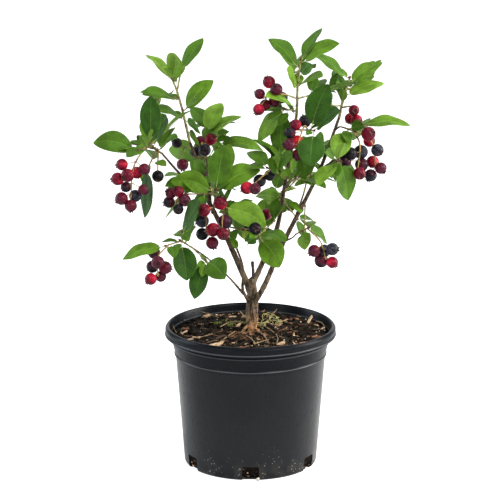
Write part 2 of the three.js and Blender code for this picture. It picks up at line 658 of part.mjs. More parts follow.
// A mass of foliage while it grows: its pieces, and those of them that its next ones keep clear of
class Mass {
  constructor(plan, seed, tip) {
    this.plan = plan;
    this.seed = seed;
    this.pieces = [];
    this.blades = [];
    const foot = tip.point.clone().addScaledVector(tip.heading, GAP);
    this.stem = evenPoints([foot, ...plan.route.map(pointAt)], TWIG_STEP);
    this.addTwig(this.stem, tip.radius, SHOOT_RADIUS);
  }

  addTwig(path, from, to) {
    this.pieces.push(limbSolid(path, taper(from, to), TWIG_SIDES));
  }

  // Adds a piece unless its room meets a limb or another mass, or its outer part one of this mass's own
  add(solidAt, outerAt, ownRule) {
    const room = solidAt(GAP);
    if (this.others.some((other) => !room.intersect(other).isEmpty())) {
      return false;
    }
    const outer = outerAt(GAP);
    if (ownRule && this.blades.some((blade) => !outer.intersect(blade).isEmpty())) {
      return false;
    }
    this.pieces.push(solidAt(0));
    this.blades.push(outerAt(0));
    return true;
  }

  addLeaf(leaf, ownRule) {
    return this.add(
      (extra) => skin(leafRings(leaf, extra)),
      (extra) => skin(leafRings(leaf, extra).slice(1)),
      ownRule,
    );
  }

  addTruss(shoot, truss, seed) {
    const path = evenPoints([rootOn(shoot, truss.from), ...truss.route.map(pointAt)], TRUSS_STEP);
    this.addTwig(path, TRUSS_RADIUS, TRUSS_RADIUS);
    truss.berries.forEach((place, i) => {
      for (let attempt = 0; attempt < TRIES; attempt++) {
        const berry = berrySeen(path, place, seed, i, attempt);
        if (this.add((extra) => berrySolid(berry, extra), (extra) => berrySolid(berry, extra, false), true)) {
          break;
        }
      }
    });
  }

  // The leaves and fruit that show from the front
  growSeen(others, cover) {
    this.others = others;
    const grow = (shoot, { leaves = [], trusses = [] }, seed) => {
      leaves.forEach((row, i) => {
        const root = rootOn(shoot, row[0]);
        const sign = chance(seed, i) < this.plan.towards ? -1 : 1;
        const ways = [[sign, true], [-sign, true], [sign, false], [-sign, false]];
        if (ways.some(([way, ownRule]) => this.addLeaf(leafSeen(root, row, way), ownRule))) {
          cover.push({ from: placeOf(root), to: row.slice(1, 3), reach: row[3] / 2 + LEAF_COVER });
        }
      });
      trusses.forEach((truss, i) => this.addTruss(shoot, truss, seed + 0.1 * i));
    };
    grow(this.stem, this.plan, this.seed);
    (this.plan.shoots ?? []).forEach((shoot, i) => {
      const path = evenPoints([rootOn(this.stem, shoot.from), pointAt(shoot.to)], TWIG_STEP);
      this.addTwig(path, SHOOT_RADIUS, SHOOT_END_RADIUS);
      grow(path, shoot, this.seed + 10 * (i + 1));
    });
  }

  // Shoots that the rule places behind the leaves that show, so that the sky between those stays open
  growExtra(others, cover) {
    this.others = others;
    for (let k = 0; k < this.plan.extra; k++) {
      const foot = rootOn(this.stem, between([EXTRA_FROM, 1], (k + 0.5) / this.plan.extra));
      for (let attempt = 0; attempt < TRIES; attempt++) {
        const seed = this.seed + 100 * (k + 1) + 7 * attempt;
        const outward = new THREE.Vector3(foot.x, foot.y, 0).normalize().multiplyScalar(SHOOT_OUTWARD);
        outward.x += between([-SHOOT_SPREAD, SHOOT_SPREAD], chance(seed, DRAW.across));
        outward.y += between(SHOOT_BACK, chance(seed, DRAW.back));
        outward.z += between(SHOOT_RISE, chance(seed, DRAW.rise));
        const length = between(SHOOT_LENGTHS, chance(seed, DRAW.shoot));
        const end = foot.clone().addScaledVector(outward.normalize(), length);
        const path = evenPoints([foot, end], TWIG_STEP);
        const radiusWith = (extra) => taper(SHOOT_RADIUS, SHOOT_END_RADIUS, extra);
        const solidAt = (extra) => limbSolid(path, radiusWith(extra), TWIG_SIDES);
        if (isCovered(end, cover) && this.add(solidAt, solidAt, false)) {
          this.addRuleLeaves(path, seed, cover);
          break;
        }
      }
    }
  }

  addRuleLeaves(path, seed, cover) {
    for (let i = 0; i < EXTRA_LEAVES; i++) {
      const share = between([EXTRA_FROM, 1], i / (EXTRA_LEAVES - 1));
      const root = rootOn(path, share);
      const { heading } = along(path, share);
      for (let attempt = 0; attempt < TRIES; attempt++) {
        const leaf = leafByRule(root, heading, seed, i + EXTRA_LEAVES * attempt);
        const outline = leafRings(leaf, 0).slice(1).flat();
        if (outline.every((corner) => isCovered(corner, cover)) && this.addLeaf(leaf, true)) {
          break;
        }
      }
    }
  }
}

// Whether a point is seen from the front before or behind one of the leaves that show
function isCovered(point, cover) {
  const [across, up] = placeOf(point);
  return cover.some(({ from, to, reach }) => {
    const run = [to[0] - from[0], to[1] - from[1]];
    const share = ((across - from[0]) * run[0] + (up - from[1]) * run[1]) / (run[0] ** 2 + run[1] ** 2);
    const held = Math.min(1, Math.max(0, share));
    return Math.hypot(across - from[0] - held * run[0], up - from[1] - held * run[1]) < reach;
  });
}

// Assembly

const bush = new THREE.Group();
bush.name = 'potted_serviceberry';

function addNode(name, solid, [colour, roughness], parent) {
  const material = new THREE.MeshStandardMaterial({ color: colour, roughness, metalness: 0 });
  const mesh = new THREE.Mesh(geometryFrom(solid), material);
  mesh.name = name;
  parent.add(mesh);
  return mesh;
}

addNode('pot', potSolid(), COLOURS.pot, bush);
addNode('potting_mix', mixSolid(), COLOURS.mix, bush);

const shrub = new THREE.Group();
bush.add(shrub);
addNode('trunk', trunkSolid(), COLOURS.bark, shrub);

const limbs = [trunkSolid()];
const rooms = [trunkSolid(GAP)];
const tips = {};
for (const bough of BOUGHS) {
  const path = evenPoints(bough.route.map(pointAt), LIMB_STEP);
  const whole = limbSolid(path, taper(...bough.radii), LIMB_SIDES);
  const cut = rooms.reduce((rest, room) => rest.subtract(room), whole);
  addNode(bough.name, mainBody(cut), COLOURS.bark, shrub);
  limbs.push(whole);
  rooms.push(limbSolid(path, taper(...bough.radii, GAP), LIMB_SIDES));
  const { point, heading } = along(path, 1);
  tips[bough.name] = { point, heading, radius: bough.radii[1] };
}

const cover = [];
const masses = MASSES.map((plan, i) => new Mass(plan, i + 1, tips[plan.bough]));
const joined = masses.map((mass) => wasm.Manifold.union(mass.pieces));
for (const grow of ['growSeen', 'growExtra']) {
  masses.forEach((mass, i) => {
    mass[grow]([...limbs, ...joined.filter((_, k) => k !== i)], cover);
    joined[i] = wasm.Manifold.union(mass.pieces);
  });
}
masses.forEach((mass, i) => addNode(mass.plan.name, mainBody(joined[i]), COLOURS.leaf, shrub));

export default bush;
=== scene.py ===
"""A potted serviceberry bush in fruit: the looks of its pot, potting mix, limbs, leaves and berries.

Laid out as an add-on: one operator makes each piece, and main() calls them in order. Scene units are
metres, and shapes are worked out in millimetres and scaled as their mesh is made. The bush is laid out
as it is seen from the front: a place is [across, up, back], where across and up are measured in the
upright plane through the pot's axis, and back carries the place along its line of sight.
"""

import functools
import math
from dataclasses import dataclass, field
from random import Random

import bmesh
import bpy
import numpy as np
from bpy.props import FloatProperty, FloatVectorProperty, IntProperty, PointerProperty
from mathutils import Matrix, Quaternion, Vector, noise
from mathutils.kdtree import KDTree


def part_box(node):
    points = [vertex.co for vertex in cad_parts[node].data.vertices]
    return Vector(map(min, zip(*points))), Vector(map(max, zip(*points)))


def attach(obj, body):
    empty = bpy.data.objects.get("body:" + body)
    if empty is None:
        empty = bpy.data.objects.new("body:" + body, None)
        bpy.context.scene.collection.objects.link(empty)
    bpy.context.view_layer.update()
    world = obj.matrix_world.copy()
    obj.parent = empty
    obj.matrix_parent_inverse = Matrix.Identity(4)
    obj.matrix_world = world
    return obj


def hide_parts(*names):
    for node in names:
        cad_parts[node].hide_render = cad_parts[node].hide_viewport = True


bl_info = {
    "name": "Potted serviceberry",
    "version": (1, 0, 0),
    "blender": (4, 5, 0),
    "location": "3D View > Sidebar > Bush",
    "description": "Makes a potted serviceberry bush in fruit, piece by piece",
    "category": "Add Mesh",
}

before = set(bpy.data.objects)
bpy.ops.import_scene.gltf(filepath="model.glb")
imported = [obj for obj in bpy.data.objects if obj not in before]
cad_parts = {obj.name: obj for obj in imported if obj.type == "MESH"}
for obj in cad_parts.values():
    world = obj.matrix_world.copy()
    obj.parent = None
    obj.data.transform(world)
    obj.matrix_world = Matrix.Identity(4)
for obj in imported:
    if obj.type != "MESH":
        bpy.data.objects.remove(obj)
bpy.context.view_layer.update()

MM = 0.001
UP = Vector((0, 0, 1))
EYE = Vector((0, -2520, 880))
AIM_HEIGHT = 242
FOCAL_PIXELS = 2365
PICTURE_PIXELS = 500
PICTURE_CENTRE = 250.5
SENSOR_WIDTH = 36

# Pot, in millimetres
_, POT_HIGH = (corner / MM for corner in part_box("pot"))
POT_HEIGHT = POT_HIGH.z
LIP_RADIUS = POT_HIGH.x
LIP_DEPTH = 10.5
COLLAR_RADIUS = 88
COLLAR_FOOT_RADIUS = 84.4
COLLAR_DEPTH = 31
# Heights of the lip's foot and of the two ridges, along which pale lines are painted as highlights
RIDGE_LEVELS = (POT_HEIGHT - LIP_DEPTH + 1.5, POT_HEIGHT - LIP_DEPTH - 4.6, POT_HEIGHT - COLLAR_DEPTH + 0.1)
WALL_TOP_RADIUS = 83.2
WALL_FOOT_RADIUS = 74.2
FOOT_RADIUS = 70.5
FOOT_ROUND = 5
WALL = 1.5
FLOOR_THICKNESS = 2
NOTCHES = 6
NOTCH_WIDTH = 18.5
NOTCH_HEIGHT = 16
NOTCH_CORNER = 2.6
NOTCH_INNER_RADIUS = 68
MIX_HEIGHT = 149.7
MIX_EDGE_DROP = 2.6

# Bush, in millimetres, as the solids have it
GAP = 0.3
TRUNK_FOOT_RADIUS = 4.6
TRUNK_FORK_RADIUS = 4.4
TRUNK_BULGE = 2.6
TRUNK_BULGE_SKEW = 0.7
TRUNK_TOP = 212
TRUNK_LEAN = 1
LOBES = 3
LOBE_DEPTH = 0.09
STUB_ROUTE = [(2, 204, 0), (3, 215, -1), (2, 229, -1)]
STUB_RADII = (2.2, 1.8)
STUB_KNOB = 0.32
LIMB_STEP = 18
TWIG_STEP = 25
TRUSS_STEP = 15
SHOOT_RADIUS = 0.95
SHOOT_END_RADIUS = 0.7
SUNK = 1
STALK_LENGTH = 7
LEAF_LENGTH = 42
LEAF_STRETCH = 1.5
LEAF_WIDTH_SHARE = 0.56
LEAF_ARCH = 0.12
LEAF_COVER = 3
LEAF_FORWARD = 0.62
LEAF_OUTWARD = 0.8
LEAF_DROOP = 0.15
LEAF_ROLL = 1.2
LEAF_LENGTHS = (0.74, 1.04)
SHOOT_LENGTHS = (28, 44)
SHOOT_OUTWARD = 0.3
SHOOT_SPREAD = 0.6
SHOOT_BACK = (0.5, 1)
SHOOT_RISE = (-0.18, 0.42)
EXTRA_FROM = 0.4
EXTRA_LEAVES = 4
TRIES = 10
BERRY_RADIUS = 5.8
BERRY_REACH = 10.5
BERRY_STRETCH = 0.16
BERRY_SIZES = (0.88, 1.1)
TRUSS_RADIUS = 0.6
TRUSS_BARE_SHARE = 0.2
TRUSS_FEET = 9
GOLDEN_TURN = math.radians(137.5)

# What only the looks have, in millimetres
FINE_STEP = 3
ON_SOLID = 0.2
BUD_LENGTH = 3.4
SMALL_LEAF_SHARES = (0.36, 0.58)
# Sizes that a leaf by the rule may shrink to, and how far inside the leaves that show its tip then stays
FITTED_SIZES = (1.0, 0.9, 0.8, 0.7, 0.6, 0.5)
FITTED_INSIDE = 4
# How far a small leaf faces the viewer at least, from 0 for its edge to 1 for its whole face
LEAST_FACING = 0.35
SMALL_LEAF_PLACES = (0.35, 0.65, 1.0)
# How much slimmer a bough shows than its solid
LIMB_SLIM = 0.06
BARK_RISE = 0.45
# The shares of a leaf's length at which it is tried before a berry, and the share of a berry that stays clear
TRIED_SHARES = (0.15, 0.4, 0.65, 0.9)
BERRY_CLEAR_SHARE = 0.6
SMALL_STALK_SHARE = 0.6
PATH_PULL = 0.35
FRUIT_FULLNESS = 1.13

# Each bough is one tapering limb, with its radius at both ends and the places it runs through
BOUGHS = {
    "bough_left": ((3.6, 2.5), [[0, 195, 0], [-8, 214, -2], [-31, 267, -5], [-46, 297, -4]]),
    "bough_left_leader": ((2.3, 1.5), [[-45, 295, -4], [-46, 317, 0], [-55, 335, 5], [-66, 363, 12]]),
    "bough_left_outer": ((1.9, 1.2), [[-46, 306, -2], [-59, 314, -10], [-76, 327, -16], [-96, 350, -25]]),
    "bough_left_inner": ((1.4, 1.0), [[-48, 321, 1], [-47, 334, 26], [-48, 345, 44]]),
    "bough_left_spur": ((1.4, 1.0), [[-42, 284, -5], [-40, 294, -18], [-39, 300, -27]]),
    "bough_second": ((1.9, 1.1), [[-1, 182, -2], [-8, 195, -10], [-9, 225, -14], [-20, 256, -16]]),
    "bough_low_left": ((1.3, 0.9), [[-8, 192, -9], [-23, 210, -18], [-50, 235, -40], [-60, 242, -46]]),
    "bough_middle": (
        (3.2, 1.8),
        [[2, 203, 0], [8, 216, 2], [29, 267, 8], [37, 312, 12], [45, 360, 14]],
    ),
    "bough_middle_spur": ((1.3, 0.9), [[20, 241, 5], [15, 245, -18], [13, 249, -38]]),
    "bough_middle_back": ((1.2, 0.9), [[33, 286, 9], [34, 292, 25], [34, 295, 38]]),
    "bough_middle_side": ((1.3, 0.9), [[37, 311, 12], [40, 315, -6], [42, 317, -20]]),
    "bough_right": (
        (3.2, 1.6),
        [[3, 180, -1], [14, 199, -8], [36, 250, -18], [75, 331, -5], [96, 390, 20]],
    ),
    "bough_right_side": ((1.5, 1.0), [[75, 331, -5], [84, 338, -22], [92, 343, -32]]),
    "bough_right_outer": ((1.2, 0.9), [[91, 376, 13], [97, 380, 6], [101, 379, 2]]),
    "bough_right_low": ((1.2, 0.85), [[37, 252, -18], [46, 256, -26], [50, 260, -31]]),
    "bough_back_left": ((1.5, 1.0), [[-31, 267, -5], [-37, 278, 20], [-41, 289, 45]]),
    "bough_back_middle": ((1.5, 1.0), [[11, 222, 3], [14, 232, 28], [17, 242, 50]]),
    "bough_back_right": ((1.5, 1.0), [[51, 283, -15], [54, 293, 15], [58, 305, 45]]),
}

# Each mass of foliage grows from one bough's tip. A leaf is [share of its shoot, across and up of its tip,
# width seen] and may end in its letter in TINTS. A truss is the share it leaves at, its route and its
# berries, each [across, up, letter in RIPENESS], with how much fuller than others they show as its fullness.
# Towards is the share of the leaves that lean to the viewer, and extra counts the shoots that the rule
# places by itself.
# A berry that lies in shade may have a darker letter than its ripeness, as painted shade.
# A leaf's letter picks a lighter or darker green partly for how lit the leaf shows, which paints light and
# shade.
MASSES = [
    {
        "name": "foliage_left_top", "bough": "bough_left_leader", "towards": 0.5, "extra": 1,
        "route": [[-72, 390, 16], [-79, 418, 20], [-84, 431, 24]],
        "leaves": [
            [0.19, -55, 359, 7, "d"], [0.36, -54, 372, 8, "k"], [0.4, -101, 397, 10, "d"],
            [0.5, -57, 408, 7, "m"], [0.47, -40, 431, 19, "m"], [0.68, -117, 415, 12, "d"],
            [1, -113, 459, 10, "b"], [1, -81, 460, 20, "b"],
        ],
        "shoots": [{"from": 0.8, "to": [-75, 441, 28], "leaves": [[1, -51, 477, 14, "d"]]}],
    },
    {
        "name": "foliage_left_outer", "bough": "bough_left_outer", "towards": 0.7, "extra": 2,
        "route": [[-105, 356, -36], [-110, 362, -44]],
        "leaves": [
            [0.96, -108, 414, 23, "k"], [0.62, -93, 394, 14, "k"], [0.3, -79, 367, 5, "d"],
            [0.25, -83, 379, 9, "m"],
        ],
        "shoots": [
            {
                "from": 0.71, "to": [-122, 354, -60],
                "leaves": [[0.4, -135, 346, 11, "d"], [1, -171, 362, 23, "d"]],
                "trusses": [{
                    "from": 0.6, "route": [[-127, 336, -64], [-131, 300, -68]],
                    "berries": [
                        [-140, 338, "r"], [-145, 322, "r"], [-134, 326, "r"], [-124, 329, "r"],
                        [-116, 333, "d"], [-136, 313, "p"], [-117, 310, "d"], [-126, 303, "b"],
                        [-141, 300, "d"], [-131, 292, "d"],
                    ],
                }],
            },
            {"from": 0.41, "to": [-112, 334, -50], "leaves": [[0.6, -92, 336, 8], [1, -116, 278, 14, "k"]]},
        ],
        "trusses": [{
            "from": 0.3, "route": [[-101, 336, -34], [-101, 328, -34]], "berries": [[-101, 325, "k"]],
        }],
    },
    {
        "name": "foliage_left_inner", "bough": "bough_left_inner", "towards": 0.2, "extra": 1,
        "route": [[-49, 372, 60]],
        "leaves": [[1, -31, 406, 20, "b"], [0.9, -9, 391, 11, "b"]],
        "shoots": [
            {"from": 0.8, "to": [-37, 363, 72], "leaves": [[0.6, -23, 375, 8, "y"], [1, 14, 353, 14, "m"]]},
            {
                "from": 0.25, "to": [-56, 343, 58], "leaves": [[1, -89, 355, 24, "m"]],
                "trusses": [{
                    "from": 0.8, "route": [[-70, 358, 54], [-77, 347, 50]],
                    "berries": [[-80, 362, "p"], [-74, 338, "d"]],
                }],
            },
        ],
        "trusses": [{
            "from": 0.6, "route": [[-53, 362, 46], [-52, 352, 38]],
            "berries": [[-43, 366, "r"], [-60, 352, "k"], [-50, 354, "p"], [-54, 363, "d"]],
        }],
    },
    {
        "name": "foliage_left_middle", "bough": "bough_left_spur", "towards": 0.5, "extra": 2,
        "route": [[-38, 310, -38]],
        "leaves": [[1, -29, 360, 26, "d"], [1, 11, 332, 23, "m"], [0.8, -87, 319, 24, "m"]],
        "shoots": [{
            "from": 0.55, "to": [-70, 305, -45], "leaves": [[1, -96, 274, 5]],
            "trusses": [{
                "from": 0.9, "route": [[-80, 300, -47], [-80, 284, -50]],
                "berries": [
                    [-87, 306, "d"], [-89, 296, "p"], [-79, 308, "r"], [-72, 298, "d"],
                    [-79, 288, "p"],
                ],
            }],
        }],
    },
    {
        "name": "foliage_left_low", "bough": "bough_low_left", "towards": 0.7, "extra": 1,
        "route": [[-77, 253, -60]],
        "leaves": [[1, -70, 207, 26, "k"]],
        "shoots": [
            {"from": 0.88, "to": [-75, 262, -68], "leaves": [[1, -55, 297, 15, "k"], [1, -56, 289, 10]]},
            {
                "from": 0.93, "to": [-93, 247, -76], "leaves": [[1, -141, 231, 14, "m"]],
                "trusses": [{
                    "from": 0.8, "route": [[-102, 234, -80], [-102, 212, -84]],
                    "berries": [
                        [-106, 239, "p"], [-108, 223, "p"], [-102, 228, "d"], [-94, 222, "d"],
                        [-110, 209, "r"], [-99, 212, "p"],
                    ],
                }],
            },
            {"from": 0.2, "to": [-49, 230, -62], "leaves": [
                [1, -62, 186, 20, "k"], [0.9, -28, 209, 25, "d"],
            ]},
        ],
    },
    {
        "name": "foliage_centre", "bough": "bough_second", "towards": 0.8, "extra": 2,
        "route": [[-27, 274, -30], [-31, 293, -44]],
        "leaves": [[1, 17, 268, 27, "b"], [0.15, -16, 243, 8, "m"]],
        "shoots": [{
            "from": 0.34, "to": [-9, 265, -36], "leaves": [[0.8, -1, 253, 10, "y"]],
            "trusses": [{
                "from": 0.9, "route": [[3, 266, -40]], "berries": [[-2, 269, "k"], [5, 266, "k"]],
            }],
        }],
        "trusses": [
            {
                "from": 0.9, "fullness": 1.16, "route": [[-46, 288, -52], [-49, 260, -56]],
                "berries": [
                    [-51, 287, "r"], [-53, 275, "b"], [-41, 265, "r"], [-53, 260, "k"],
                    [-42, 250, "d"],
                ],
            },
            {
                "from": 0.75, "fullness": 1.16, "route": [[-31, 276, -56], [-31, 262, -58]],
                "berries": [[-33, 295, "r"], [-28, 274, "p"], [-30, 260, "r"]],
            },
        ],
    },
    {
        "name": "foliage_middle_low", "bough": "bough_middle_spur", "towards": 0.7, "extra": 1,
        "route": [[7, 263, -52]],
        "leaves": [[1, 39, 251, 13, "d"], [0.6, 32, 222, 28, "m"], [0.7, -3, 249, 13, "k"]],
    },
    {
        "name": "foliage_middle_back", "bough": "bough_middle_back", "towards": 0.1, "extra": 2,
        "route": [[34, 307, 62]],
        "leaves": [[0.3, 5, 302, 14], [1, 21, 311, 4], [1, 52, 311, 4, "y"]],
        "shoots": [{
            "from": 0.35, "to": [51, 278, 58],
            "leaves": [[0.6, 24, 286, 11], [0.85, 42, 294, 10], [1, 70, 274, 5], [1, 57, 291, 7]],
        }],
        "trusses": [{"from": 0.4, "route": [[17, 284, 46]], "berries": [[17, 282, "r"]]}],
    },
    {
        "name": "foliage_middle_side", "bough": "bough_middle_side", "towards": 0.6, "extra": 2,
        "route": [[49, 323, -32]],
        "leaves": [[0.3, 34, 331, 13, "m"], [0.95, 70, 342, 21, "d"], [0.8, 82, 311, 5]],
        "shoots": [{
            "from": 0.5, "to": [19, 334, -44],
            "leaves": [[0.5, 18, 342, 11, "d"], [1, -3, 352, 15, "d"], [0.7, 46, 349, 11, "d"]],
            "trusses": [{
                "from": 0.9, "route": [[10, 322, -46], [1, 314, -50]],
                "berries": [[21, 326, "k"], [10, 320, "k"], [5, 311, "d"], [-4, 312, "r"]],
            }],
        }],
    },
    {
        "name": "foliage_middle_top", "bough": "bough_middle", "towards": 0.5, "extra": 2,
        "route": [[50, 395, 6], [51, 426, 0], [54, 453, -6]],
        "leaves": [
            [0.22, 22, 345, 16], [0.45, 16, 413, 10], [0.65, 39, 443, 9, "b"], [0.72, 78, 435, 9, "m"],
            [0.8, 66, 449, 15, "k"], [0.9, 19, 476, 16, "d"], [1, 77, 488, 11, "d"],
            [0.96, 96, 471, 15, "m"],
        ],
        "shoots": [
            {"from": 0.4, "to": [37, 400, -6], "leaves": [[1, 8, 364, 17, "b"], [1, 12, 399, 10, "m"]]},
            {
                "from": 0.18, "to": [69, 376, -40],
                "leaves": [[0.8, 84, 427, 28, "k"], [1, 65, 336, 29, "k"], [1, 97, 397, 13, "k"]],
                "trusses": [{
                    "from": 0.7, "route": [[58, 380, -46], [50, 356, -50]],
                    "berries": [
                        [49, 382, "r"], [59, 386, "k"], [43, 373, "p"], [51, 364, "o"],
                        [42, 360, "d"], [60, 360, "p"], [51, 349, "d"],
                    ],
                }],
            },
        ],
        "trusses": [{
            "from": 0.55, "route": [[32, 416, -10], [13, 411, -16]],
            "berries": [
                [20, 429, "r"], [10, 416, "d"], [28, 421, "d"], [16, 404, "d"], [26, 408, "d"],
                [9, 399, "r"], [34, 412, "k"],
            ],
        }],
    },
    {
        "name": "foliage_right_top", "bough": "bough_right", "towards": 0.4, "extra": 1,
        "route": [[100, 409, 28], [107, 433, 36]],
        "leaves": [
            [0.45, 91, 442, 15, "k"], [0.35, 92, 431, 8, "y"], [0.55, 144, 428, 15, "b"],
            [0.85, 142, 451, 16, "m"], [1, 65, 461, 11, "d"],
        ],
        "shoots": [{"from": 0.3, "to": [88, 403, 12], "leaves": [[0.8, 79, 417, 11], [1, 77, 396, 11]]}],
        "trusses": [{
            "from": 0.25, "route": [[110, 402, 18], [114, 394, 14]],
            "berries": [[112, 398, "r"], [108, 389, "r"], [115, 387, "r"]],
        }],
    },
    {
        "name": "foliage_right_outer", "bough": "bough_right_outer", "towards": 0.6, "extra": 1,
        "route": [[113, 375, -8]],
        "leaves": [[0.35, 93, 345, 23, "b"], [0.3, 123, 380, 12]],
        "shoots": [{"from": 0.5, "to": [119, 383, 4], "leaves": [[1, 174, 381, 12, "m"]]}],
        "trusses": [
            {
                "from": 1, "fullness": 1.12, "route": [[119, 360, -14], [116, 328, -18]],
                "berries": [
                    [109, 350, "k"], [120, 352, "b"], [102, 342, "p"], [121, 338, "p"],
                    [119, 328, "r"],
                ],
            },
            {
                "from": 0.9, "fullness": 1.12, "route": [[131, 364, -6], [137, 330, -8]],
                "berries": [
                    [128, 372, "r"], [129, 364, "r"], [138, 354, "b"], [133, 341, "r"],
                    [142, 334, "d"], [131, 326, "p"],
                ],
            },
        ],
    },
    {
        "name": "foliage_right_side", "bough": "bough_right_side", "towards": 0.6, "extra": 2,
        "route": [[98, 342, -42]],
        "leaves": [[1, 107, 298, 22, "d"], [0.7, 73, 314, 15, "b"], [0.5, 81, 352, 10, "d"]],
    },
    {
        "name": "foliage_right_low", "bough": "bough_right_low", "towards": 0.7, "extra": 1,
        "route": [[63, 267, -42]],
        "leaves": [[0.4, 60, 242, 16, "b"], [1, 84, 250, 10, "d"]],
        "trusses": [{
            "from": 1, "fullness": 1.12, "route": [[77, 251, -46], [83, 231, -48]],
            "berries": [[70, 241, "d"], [81, 241, "b"], [90, 243, "b"], [78, 230, "p"], [90, 228, "r"]],
        }],
    },
    {
        "name": "foliage_back_left", "bough": "bough_back_left", "towards": 0, "extra": 3,
        "route": [[-52, 312, 72], [-60, 332, 90]],
    },
    {
        "name": "foliage_back_middle", "bough": "bough_back_middle", "towards": 0, "extra": 3,
        "route": [[16, 262, 78], [10, 282, 92]],
    },
    {
        "name": "foliage_back_right", "bough": "bough_back_right", "towards": 0, "extra": 3,
        "route": [[64, 330, 72], [70, 350, 90]],
    },
]

MASS_NODES = [plan["name"] for plan in MASSES]

# What each repeatable draw of a seed decides, as the first place of its numbers in the order
DRAW = {
    "across": 1, "back": 2, "rise": 3, "shoot": 4, "turn": 31, "roll": 40, "berry": 80, "leaf": 160,
    "small": 240, "tint": 300,
}


# Rule of growth, the same as the solids have

def chance(seed, order):
    """A repeatable number between 0 and 1 for each seed and each place in its order"""
    wave = math.sin(seed * 12.9898 + order * 78.233) * 43758.5453
    return wave - math.floor(wave)


def between(ends, share):
    return ends[0] + (ends[1] - ends[0]) * share


def point_at(place):
    """The point at a place of the layout"""
    across, up, back = place
    stretch = 1 - back / EYE.y
    return Vector((across * stretch, back, EYE.z + (up - EYE.z) * stretch))


def place_of(point):
    """The place of a point in the layout"""
    stretch = 1 - point.y / EYE.y
    return point.x / stretch, EYE.z + (point.z - EYE.z) / stretch, point.y


def smooth_curve(points):
    """A function that gives the point at each share of a centripetal curve through the points"""
    ends = [2 * points[0] - points[1], *points, 2 * points[-1] - points[-2]]

    def at(share):
        span = min(len(points) - 2, int(share * (len(points) - 1)))
        before, start, end, after = ends[span:span + 4]
        gaps = [math.sqrt((b - a).length) for a, b in ((before, start), (start, end), (end, after))]
        leave = (start - before) / gaps[0] - (end - before) / (gaps[0] + gaps[1]) + (end - start) / gaps[1]
        arrive = (end - start) / gaps[1] - (after - start) / (gaps[1] + gaps[2]) + (after - end) / gaps[2]
        leave *= gaps[1]
        arrive *= gaps[1]
        part = share * (len(points) - 1) - span
        bend = -3 * start + 3 * end - 2 * leave - arrive
        twist = 2 * start - 2 * end + leave + arrive
        return start + leave * part + bend * part ** 2 + twist * part ** 3

    return at


def even_points(points, step, samples=200):
    """Points spaced evenly along a smooth curve through the points given"""
    curve = smooth_curve(points)
    dense = [curve(i / samples) for i in range(samples + 1)]
    lengths = np.cumsum([0.0] + [(b - a).length for a, b in zip(dense, dense[1:])])
    count = max(1, math.floor(lengths[-1] / step + 0.5))
    shares = np.interp(np.linspace(0, lengths[-1], count + 1), lengths, np.linspace(0, 1, samples + 1))
    return [curve(min(1.0, share)) for share in shares]


def along(path, share):
    """The point and the heading at a share of a path of even straight steps"""
    last = len(path) - 1
    step = min(last - 1, math.floor(share * last))
    run = path[step + 1] - path[step]
    return path[step] + run * (share * last - step), run.normalized()


@dataclass
class Twig:
    """A twig, with the path that the solids have and the smooth one that shows"""
    points: list
    step: float
    radii: tuple
    kind: str = "shoot"

    def __post_init__(self):
        self.path = even_points(self.points, self.step)
        self.fine = even_points(self.points, FINE_STEP)
        self.length = (len(self.path) - 1) * (self.path[1] - self.path[0]).length

    def sunk(self, share):
        return min(share, 1 - SUNK / self.length)

    def root(self, share):
        return along(self.path, self.sunk(share))[0]

    def foot(self, share):
        return along(self.fine, self.sunk(share))[0]

    def heading(self, share):
        return along(self.path, share)[1]

    def radius(self, share):
        return between(self.radii, share)


@dataclass
class Leaf:
    """A leaf from its stalk's root to its tip, with the point of the twig that it grows from"""
    root: Vector
    heading: Vector
    face: Vector
    length: float
    width: float
    foot: Vector = None
    twig_heading: Vector = None
    twig_radius: float = 0.7
    stalk: float = STALK_LENGTH
    tint: str = ""
    seed: float = 0.0

    def tip(self):
        return self.root + self.heading * (self.stalk + self.length)


@dataclass
class Berry:
    foot: Vector
    outward: Vector
    reach: float
    radius: float
    ripeness: str
    seed: float
    start: Vector
    fullness: float = 1.0

    def end(self):
        return self.foot + self.outward * (self.reach + self.radius)

    def middle(self):
        return self.foot + self.outward * self.reach


def turned(vector, axis, angle):
    return Quaternion(axis, angle) @ vector


def leaf_seen(root, row, sign):
    """A leaf that shows from the front with its tip and width as given, leaning as the view tells"""
    across, up, seen_width = row[1:4]
    root_across, root_up, root_back = place_of(root)
    seen = math.hypot(across - root_across, up - root_up)
    reach = max(seen, min(LEAF_LENGTH + STALK_LENGTH, LEAF_STRETCH * seen))
    lean = sign * math.sqrt(max(0.0, reach * reach - seen * seen))
    heading = point_at((across, up, root_back + lean)) - root
    length = heading.length - STALK_LENGTH
    width = max(length * LEAF_WIDTH_SHARE, seen_width)
    heading.normalize()
    facing = (EYE - root).normalized()
    facing = (facing - facing.dot(heading) * heading).normalized()
    turn = math.acos(seen_width / width)
    one = turned(facing, heading, turn)
    other = turned(facing, heading, -turn)
    return Leaf(root, heading, one if one.z > other.z else other, length, width)


def leaf_by_rule(root, shoot, seed, order, share=1.0):
    """A leaf set round its shoot by the golden turn with its face to the sky"""
    around = GOLDEN_TURN * order + math.tau * chance(seed, DRAW["turn"])
    outward = turned(shoot.cross(UP).normalized(), shoot, around)
    heading = shoot * LEAF_FORWARD + outward * LEAF_OUTWARD
    heading.z -= LEAF_DROOP
    heading.normalize()
    face = (UP - heading * heading.z).normalized()
    face = turned(face, heading, LEAF_ROLL * (chance(seed, DRAW["roll"] + order) - 0.5))
    length = share * LEAF_LENGTH * between(LEAF_LENGTHS, chance(seed, DRAW["leaf"] + order))
    return Leaf(root, heading, face, length, length * LEAF_WIDTH_SHARE)


